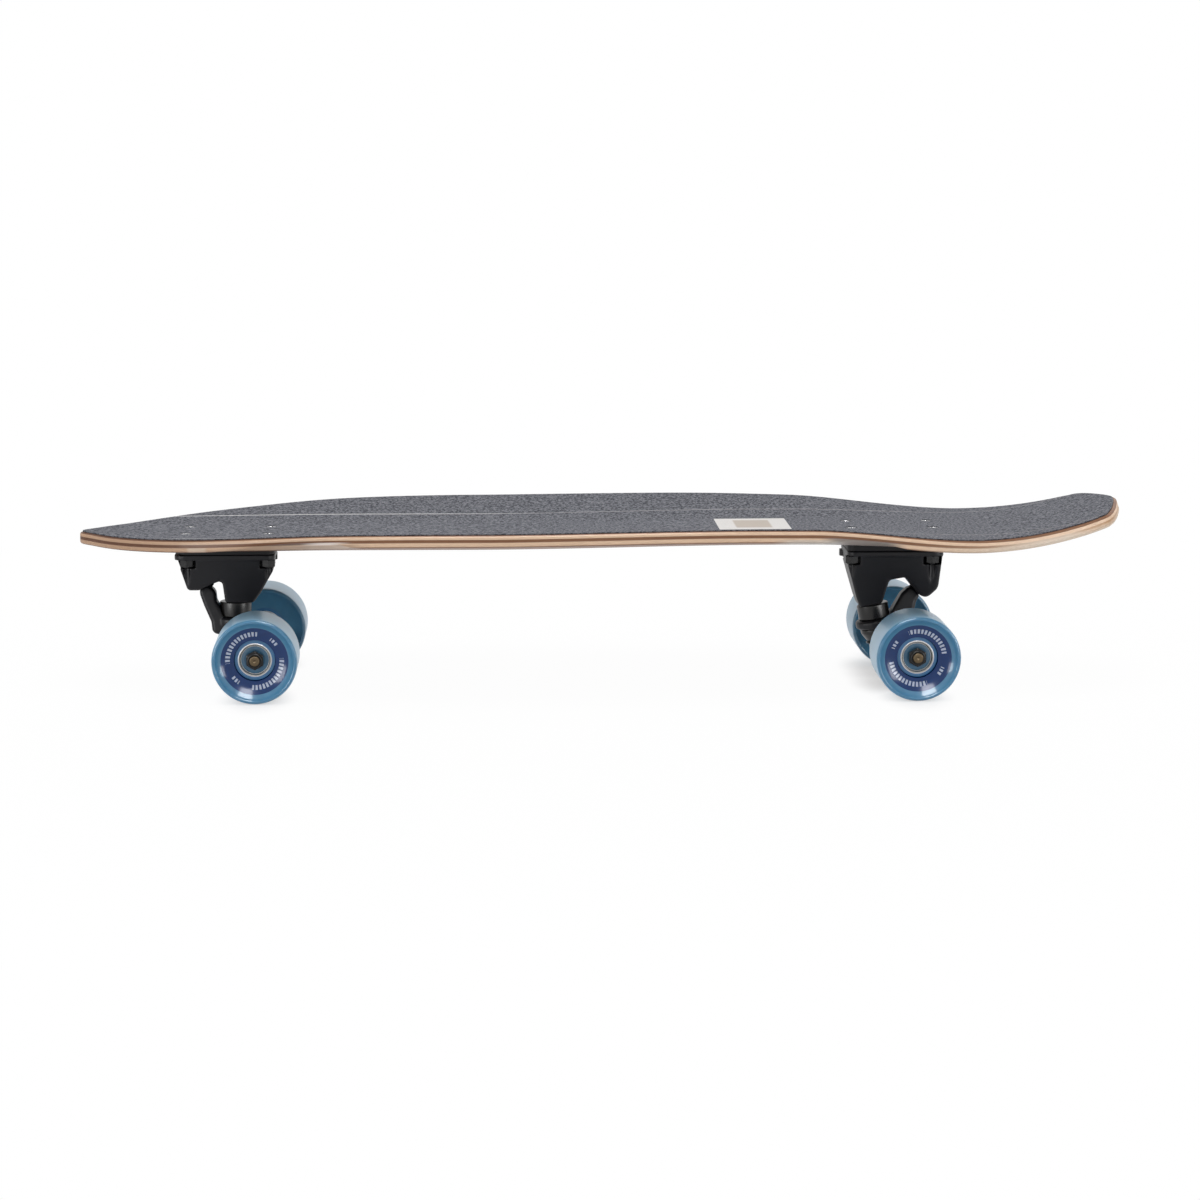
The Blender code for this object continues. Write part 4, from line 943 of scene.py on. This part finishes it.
for truck_name in TRUCKS:
    for part, body in (("base", "deck"), ("hanger", f"{truck_name}_hanger")):
        made = casting(f"{truck_name}_{part}_casting", f"{truck_name}_{part}", body)
        print(made.name, len(made.data.polygons), "faces")

# %% [markdown]
# ## Risers
# A riser is a moulded pad between the base and the deck. Its loops run round a rounded rectangle,
# from the middle of the top out over a small edge radius and back under.

# %% Risers
RISER_WIDTH, RISER_CORNER, RISER_EDGE = 56 * MM, 7 * MM, 0.7 * MM
BOLT_WAY = ((0.0, 20 * MM), (SHAFT_HOLE, 20 * MM), (SHAFT_HOLE, -40 * MM), (0.0, -40 * MM))


def riser_loop(long, inset, height):
    """The riser's outline moved in by inset, as points at a height."""
    flat = rounded_rectangle(long - 2 * inset, RISER_WIDTH - 2 * inset, RISER_CORNER - inset)
    return np.column_stack((flat, np.full(len(flat), height)))


for truck_name, truck in TRUCKS.items():
    middle, long = truck["pad"]
    low = AXLE_HEIGHT + truck["height"] + GAP
    high, turn = low + truck["riser"], np.linspace(0.0, math.pi / 2, 5)
    inward, down = RISER_EDGE * (1 - np.sin(turn)), RISER_EDGE * (1 - np.cos(turn))
    insets = np.concatenate((inward, down))
    levels = np.concatenate((high - down, low + inward))
    loops = [riser_loop(long, inset, height) for inset, height in zip(insets, levels)]
    caps = [np.column_stack((loops[end][:, :2] * share, loops[end][:, 2])) for end, share in
            ((0, 0.0), (0, 0.5), (-1, 0.5), (-1, 0.0))]
    grid = np.array(caps[:2] + loops + caps[2:])
    grid[..., 0] = truck["axle"] + truck["turn"] * (middle + grid[..., 0])
    riser = drilled(from_grids(f"{truck_name}_riser_pad", [(grid, False, True)]), BOLT_WAY, SEATS)
    piece(riser, "deck", BLACK_PLASTIC, [f"{truck_name}_riser"])
    print(truck_name, "riser in mm", round((high - low) / MM, 1), "high")

# %% [markdown]
# ## Kingpin, bushings and pivot cup
# The kingpin carries two bushings with the hanger's ring between them. The bushings are soft: when
# the truck steers, one end stays with the base and the other follows the hanger. Here they are
# laid in place and ride on no body.

# %% The stack's heights
UPPER, RING, LOWER, WASHER, PIN_NUT, HEAD = (value * MM for value in (11.5, 7.0, 10.0, 1.4, 6.2, 5.2))
UPPER_TOP, UPPER_END = -GAP, -GAP - UPPER
LOWER_TOP = UPPER_END - RING - 2 * GAP
LOWER_END = LOWER_TOP - LOWER
WASHER_TOP = LOWER_END - GAP
WASHER_END = WASHER_TOP - WASHER
PIN_NUT_TOP = WASHER_END - GAP
PIN_NUT_END = PIN_NUT_TOP - PIN_NUT
PIN_END = PIN_NUT_END - 1.5 * MM
BORE, BUSHING_R, WASHER_R = 5.2 * MM, 12.3 * MM, 9.5 * MM
PIN_R, PIN_FLATS, PIN_INSIDE, HEAD_SINK = 4.9 * MM, 7.1 * MM, 6.4 * MM, 9.7 * MM


def truck_point(truck, u, h):
    """A point of a truck's own frame on the board."""
    return (truck["axle"] + truck["turn"] * u, 0.0, AXLE_HEIGHT + h)


def pin_seat(truck):
    """The kingpin's seat: its origin under the base and the direction up along it."""
    up = (-truck["turn"] * math.sin(truck["lean"]), 0.0, math.cos(truck["lean"]))
    return truck_point(truck, *truck["kingpin"]), up


def on_pin(truck, distance):
    """The point of the kingpin's middle line at a distance above its seat."""
    origin, up = pin_seat(truck)
    return tuple(np.array(origin) + np.array(up) * distance)


print("stack in mm", round(-PIN_END / MM, 1), "high")

# %% [markdown]
# The upper bushing is a barrel and the lower one a cone. Both are turned on the kingpin's seat
# and stay where they are made.

# %% Bushings
def bushings(truck_name, truck):
    """The two soft rings above and below the hanger's ring."""
    barrel = rounded([(BORE, UPPER_TOP, 0.3 * MM), (BUSHING_R, UPPER_TOP, 0.9 * MM),
                      (BUSHING_R, UPPER_END, 0.9 * MM), (BORE, UPPER_END, 0.3 * MM)], 6)
    cone = rounded([(BORE, LOWER_TOP, 0.3 * MM), (BUSHING_R, LOWER_TOP, 0.9 * MM),
                    (BUSHING_R, LOWER_TOP - LOWER / 3, 2.0 * MM), (8.5 * MM, LOWER_END, 0.8 * MM),
                    (BORE, LOWER_END, 0.3 * MM)], 6)
    for level, profile, still, moving in (("upper", barrel, UPPER_TOP, UPPER_END),
                                          ("lower", cone, LOWER_END, LOWER_TOP)):
        made = turned(f"{truck_name}_bushing_{level}", profile, pin_seat(truck), None, BLACK_RUBBER,
                      [f"{truck_name}_{level}_bushing"], 72)
        on_pin(truck, still)
        on_pin(truck, moving)
        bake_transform(made)


# %% [markdown]
# Below the bushings come a washer and a locknut. The kingpin's own head sits in the base, so its
# height depends on how high the truck's seat lies.

# %% Washer, locknut and kingpin
def pin_hardware(truck_name, truck):
    """The washer, the locknut and the kingpin, in the order they hang."""
    seat = pin_seat(truck)
    washer = rounded([(BORE, WASHER_TOP, 0.2 * MM), (WASHER_R, WASHER_TOP, 0.5 * MM),
                      (WASHER_R, WASHER_END, 0.5 * MM), (BORE, WASHER_END, 0.2 * MM)], 4)
    turned(f"{truck_name}_washer", washer, seat, "deck", BLACK_STEEL,
           [f"{truck_name}_kingpin_washer"], 64)
    nut = rounded([(BORE, PIN_NUT_TOP, 0.3 * MM)] + hex_walls(PIN_FLATS, PIN_NUT_TOP, PIN_NUT_END)
                  + [(BORE, PIN_NUT_END, 0.3 * MM)], 4)
    turned(f"{truck_name}_kingpin_locknut", nut, seat, "deck", BLACK_STEEL,
           [f"{truck_name}_kingpin_nut"], 96,
           reach=hexagon(PIN_FLATS, PIN_INSIDE, PIN_NUT_END, PIN_NUT_TOP))
    low = (truck["height"] - truck["kingpin"][1]) / math.cos(truck["lean"]) - HEAD_SINK
    high = low + HEAD
    pin = rounded([(0.0, high, 0.0)]
                  + hex_walls(PIN_FLATS, high, low, (0, 0.06, 0.12, 0.88, 0.94, 1))
                  + [(PIN_R, low, 0.0), (PIN_R, PIN_END, 0.6 * MM), (0.0, PIN_END, 0.0)],
                  4, closed=False)
    turned(f"{truck_name}_kingpin_bolt", pin, seat, "deck", BLACK_STEEL,
           [f"{truck_name}_kingpin"], 96, closed=False,
           reach=hexagon(PIN_FLATS, PIN_INSIDE, low, high))


# %% [markdown]
# The pivot cup is a thimble in the base that holds the hanger's pivot pin. It points along the
# line from the middle of the hanger's ring to the pivot, which is also the steering axis.

# %% Pivot cups, and both stacks
def pivot_cup(truck_name, truck):
    """A round-bottomed lining: an arc for its inside, and a cylinder with a flat end outside."""
    centre = np.array(on_pin(truck, -2 * GAP - UPPER - RING / 2))
    pivot = np.array(truck_point(truck, *truck["pivot"]))
    inside, outside, mouth, end = 5.1 * MM, 7.2 * MM, -3.5 * MM, 7.5 * MM
    arc = [(inside * math.sin(a), inside * math.cos(a)) for a in np.linspace(0.15, math.pi / 2, 8)]
    wall = rounded([(inside, mouth, 0.5 * MM), (outside, mouth, 0.4 * MM), (outside, end, 0.8 * MM),
                    (0.0, end, 0.0)], 5, closed=False)
    profile = np.concatenate((np.array([(0.0, inside)] + arc + [(inside, -3.0 * MM)]), wall))
    turned(f"{truck_name}_pivot_lining", profile, (tuple(pivot), tuple(pivot - centre)), "deck",
           BLACK_RUBBER, [f"{truck_name}_pivot_cup"], 56, closed=False)


for truck_name, truck in TRUCKS.items():
    bushings(truck_name, truck)
    pin_hardware(truck_name, truck)
    pivot_cup(truck_name, truck)
print("kingpin stacks", len(TRUCKS))

# %% [markdown]
# ## Mounting bolts
# Eight countersunk bolts with a hexagon socket hold the trucks. Their heads lie flush in the grip,
# and their nuts sit in pockets under the flange.

# %% Mounting bolts
FLANGE, BOLT_NUT, BEYOND_NUT = 4.0 * MM, 5.2 * MM, 1.0 * MM
SHAFT_R, HEAD_R, BOLT_NUT_R, KEY_R, KEY_DEPTH = (value * MM for value in (2.3, 4.6, 4.7, 1.5, 1.4))
for name, truck, x, y, top in BOLTS:
    nut_top = AXLE_HEIGHT + truck["height"] - FLANGE - GAP - top
    nut_end = nut_top - BOLT_NUT
    end = nut_end - BEYOND_NUT
    profile = rounded([(0.0, -KEY_DEPTH, 0.0), (KEY_R, -KEY_DEPTH, 0.0), (KEY_R, 0.0, 0.15 * MM),
                       (HEAD_R, 0.0, 0.12 * MM), (SHAFT_R, -2.4 * MM, 0.0), (SHAFT_R, nut_top, 0.0)]
                      + hex_walls(BOLT_NUT_R, nut_top, nut_end)
                      + [(SHAFT_R, nut_end, 0.0), (SHAFT_R, end, 0.4 * MM), (0.0, end, 0.0)],
                      4, closed=False)
    turned(f"{name}_screw", profile, ((x, y, top), (0, 0, 1)), "deck", SCREW, [name],
           48, closed=False, reach=hexagon(BOLT_NUT_R, 4.65 * MM, nut_end, nut_top))
print("mounting bolts", len(BOLTS))

# %% [markdown]
# ## Studio
# The board stands on a white sweep. The floor is a pale matt disc that keeps the soft shadows, and
# a plain white glow is mixed into it: about half under the wheels and nearly all of it elsewhere.
# Only rays from the camera, from glossy surfaces and through clear ones see that glow, so it
# lights nothing. The world has the same white for those rays and lights the board at 0.55.

# %% Floor and world
def background_ray(paint):
    """1 for the rays that see the background: camera, glossy and transmission rays."""
    camera, glossy, through = (paint.node("LightPath", {}, {}, f"Is {kind} Ray")
                               for kind in ("Camera", "Glossy", "Transmission"))
    return paint.maths("MAXIMUM", paint.maths("MAXIMUM", camera, glossy), through)


FOOT_SQUASH, FLOOR_DROP = 0.45, 0.1 * MM
material, paint = start_paint("floor")
squeezed = place_on(paint, (1.0, FOOT_SQUASH, 1.0))
far = paint.node("VectorMath", {"operation": "LENGTH"}, {0: place_on(paint)}, "Value")
glow = paint.node("Emission", {}, {"Color": (1.0, 1.0, 1.0, 1.0), "Strength": 1.0})
finish(material, paint, Base_Color=(0.80, 0.80, 0.80), Roughness=0.9, Specular_IOR_Level=0.0)
# Round each wheel's contact and at three spots under the rear truck less glow is mixed in, so the real
# shadows show there; where none falls these patches stay a little grey: painted shade.
shade_spots = [(truck["axle"], side * WHEEL_OUT) for truck in TRUCKS.values() for side in (-1, 1)]
shade_spots += [(REAR_AXLE - 14 * MM, y * MM) for y in (-20, 20, 50)]
nearest = 1.0
for foot_x, foot_y in shade_spots:
    foot = (foot_x, foot_y * FOOT_SQUASH, 0.0)
    apart = paint.node("VectorMath", {"operation": "DISTANCE"}, {0: squeezed, 1: foot}, "Value")
    nearest = paint.maths("MINIMUM", nearest, apart)
white = 0.48 + step(nearest, 0.004, 0.034) * 0.49 + step(far, 0.45, 0.95) * 0.03
nodes = material.node_tree.nodes
shader = Wire(material.node_tree, nodes["Principled BSDF"].outputs[0])
mixed = paint.node("MixShader", {}, {0: white * background_ray(paint), 1: shader, 2: glow})
material.node_tree.links.new(mixed.socket, nodes["Material Output"].inputs["Surface"])
turn = np.linspace(0.0, 2 * math.pi, 97)[None, :-1]
reach = np.array((0.0, 0.4, 1.0, 2.5, 6.0))[:, None]
disc = np.stack((reach * np.cos(turn), reach * np.sin(turn), np.zeros((5, 96)) - FLOOR_DROP), -1)
floor = piece(from_grids("floor", [(disc, False, True)]), None, material)
floor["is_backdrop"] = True

world = bpy.data.worlds.new("studio")
world.use_nodes = True
bpy.context.scene.world = world
sky = Wire(world.node_tree)
background = world.node_tree.nodes["Background"]
background.inputs["Color"].default_value = (1.0, 1.0, 1.0, 1.0)
strength = 0.55 + background_ray(sky) * 0.45
world.node_tree.links.new(strength.socket, background.inputs["Strength"])
print("floor feet", len(shade_spots))

# %% [markdown]
# Five large soft lamps light the board: one overhead, one from the left behind the camera, a weaker
# one from the right and two from behind, which reach the far wheels under the deck. Their mirror
# images would fall in the wrong places on the glossy wheels, so they are hidden from glossy rays.
# Three softboxes are there for glossy rays alone: a long strip a metre above and one on either
# side, which draw the pale patches on the wheels.

# %% Lamps
def frame_towards(back):
    """Rotation whose own Z points along back and whose X stays level."""
    back = back / np.linalg.norm(back)
    right = np.cross((0.0, 1.0, 0.0) if abs(back[2]) > 0.99 else (0.0, 0.0, 1.0), back)
    right /= np.linalg.norm(right)
    return np.stack((right, np.cross(back, right), back), -1).tolist()


def lamp(name, place, aim, wide, long, power, mirrored=False):
    """An area lamp that looks at a point; a mirrored one only shows in reflections."""
    data = bpy.data.lights.new(name, "AREA")
    data.shape, data.size, data.size_y, data.energy = "RECTANGLE", wide, long, power
    made = bpy.data.objects.new(name, data)
    bpy.context.scene.collection.objects.link(made)
    made.location = place
    back = np.array(place, float) - np.array(aim, float)
    made.rotation_euler = Matrix(frame_towards(back)).to_euler()
    made.visible_glossy, made.visible_diffuse = mirrored, not mirrored


lamp("overhead", (0.0, -0.35, 2.2), (0.0, 0.0, 0.0), 1.2, 1.2, 21.5)
lamp("left", (-2.3, -1.0, 0.95), (0.0, 0.0, 0.05), 0.8, 0.8, 14.0)
lamp("right", (2.3, -0.8, 0.75), (0.0, 0.0, 0.05), 0.7, 0.7, 9.0)
lamp("back_left", (-0.9, 1.9, 0.9), (0.0, 0.0, 0.05), 0.6, 0.6, 10.0)
lamp("back_right", (0.9, 1.9, 0.9), (0.0, 0.0, 0.05), 0.6, 0.6, 12.0)
lamp("strip", (0.0, -0.66, 0.95), (0.0, -0.66, 0.0), 0.48, 1.4, 33.0, True)
lamp("softbox_left", (-0.80, -0.58, 0.18), (0.0, -0.05, 0.06), 0.44, 0.36, 4.6, True)
lamp("softbox_right", (0.80, -0.58, 0.18), (0.0, -0.05, 0.06), 0.44, 0.36, 4.6, True)
print("lamps", len(bpy.data.lights))

# %% [markdown]
# ## Camera
# The camera stands where the photograph was taken from: a long lens, low, about 2.7 m away. Its
# place and turn were worked out from the wheels' rims and the deck's bolts.

# %% Camera
PLACE = (FRONT_AXLE + 0.1461, -2.7099, 0.4791)
YAW, PITCH, ROLL = (math.radians(value) for value in (-2.523, 8.714, 0.156))
FOCAL_PIXELS, PICTURE_PIXELS, SENSOR = 3494.5, 1200, 36.0
right = np.array((math.cos(YAW), math.sin(YAW), 0.0))
ahead = np.array((-math.sin(YAW), math.cos(YAW), 0.0))
forward = ahead * math.cos(PITCH) - np.array((0.0, 0.0, math.sin(PITCH)))
up = ahead * math.sin(PITCH) + np.array((0.0, 0.0, math.cos(PITCH)))
right, up = (right * math.cos(ROLL) + up * math.sin(ROLL),
             up * math.cos(ROLL) - right * math.sin(ROLL))
camera_data = bpy.data.cameras.new("camera")
camera_data.sensor_width, camera_data.lens = SENSOR, FOCAL_PIXELS / PICTURE_PIXELS * SENSOR
camera = bpy.data.objects.new("camera", camera_data)
bpy.context.scene.collection.objects.link(camera)
camera.location = PLACE
camera.rotation_euler = Matrix(np.stack((right, up, -forward), -1).tolist()).to_euler()
bpy.context.scene.camera = camera
bpy.context.scene.view_settings.view_transform = "Standard"
print("lens in mm", round(camera_data.lens, 1))

# %% Finish
boxes = {"cad": [list(corner) for corner in cad_box],
         "visual": [list(corner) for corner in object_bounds()]}
print("visual box in mm", [round(1000 * (b - a), 1) for a, b in zip(*boxes["visual"])])
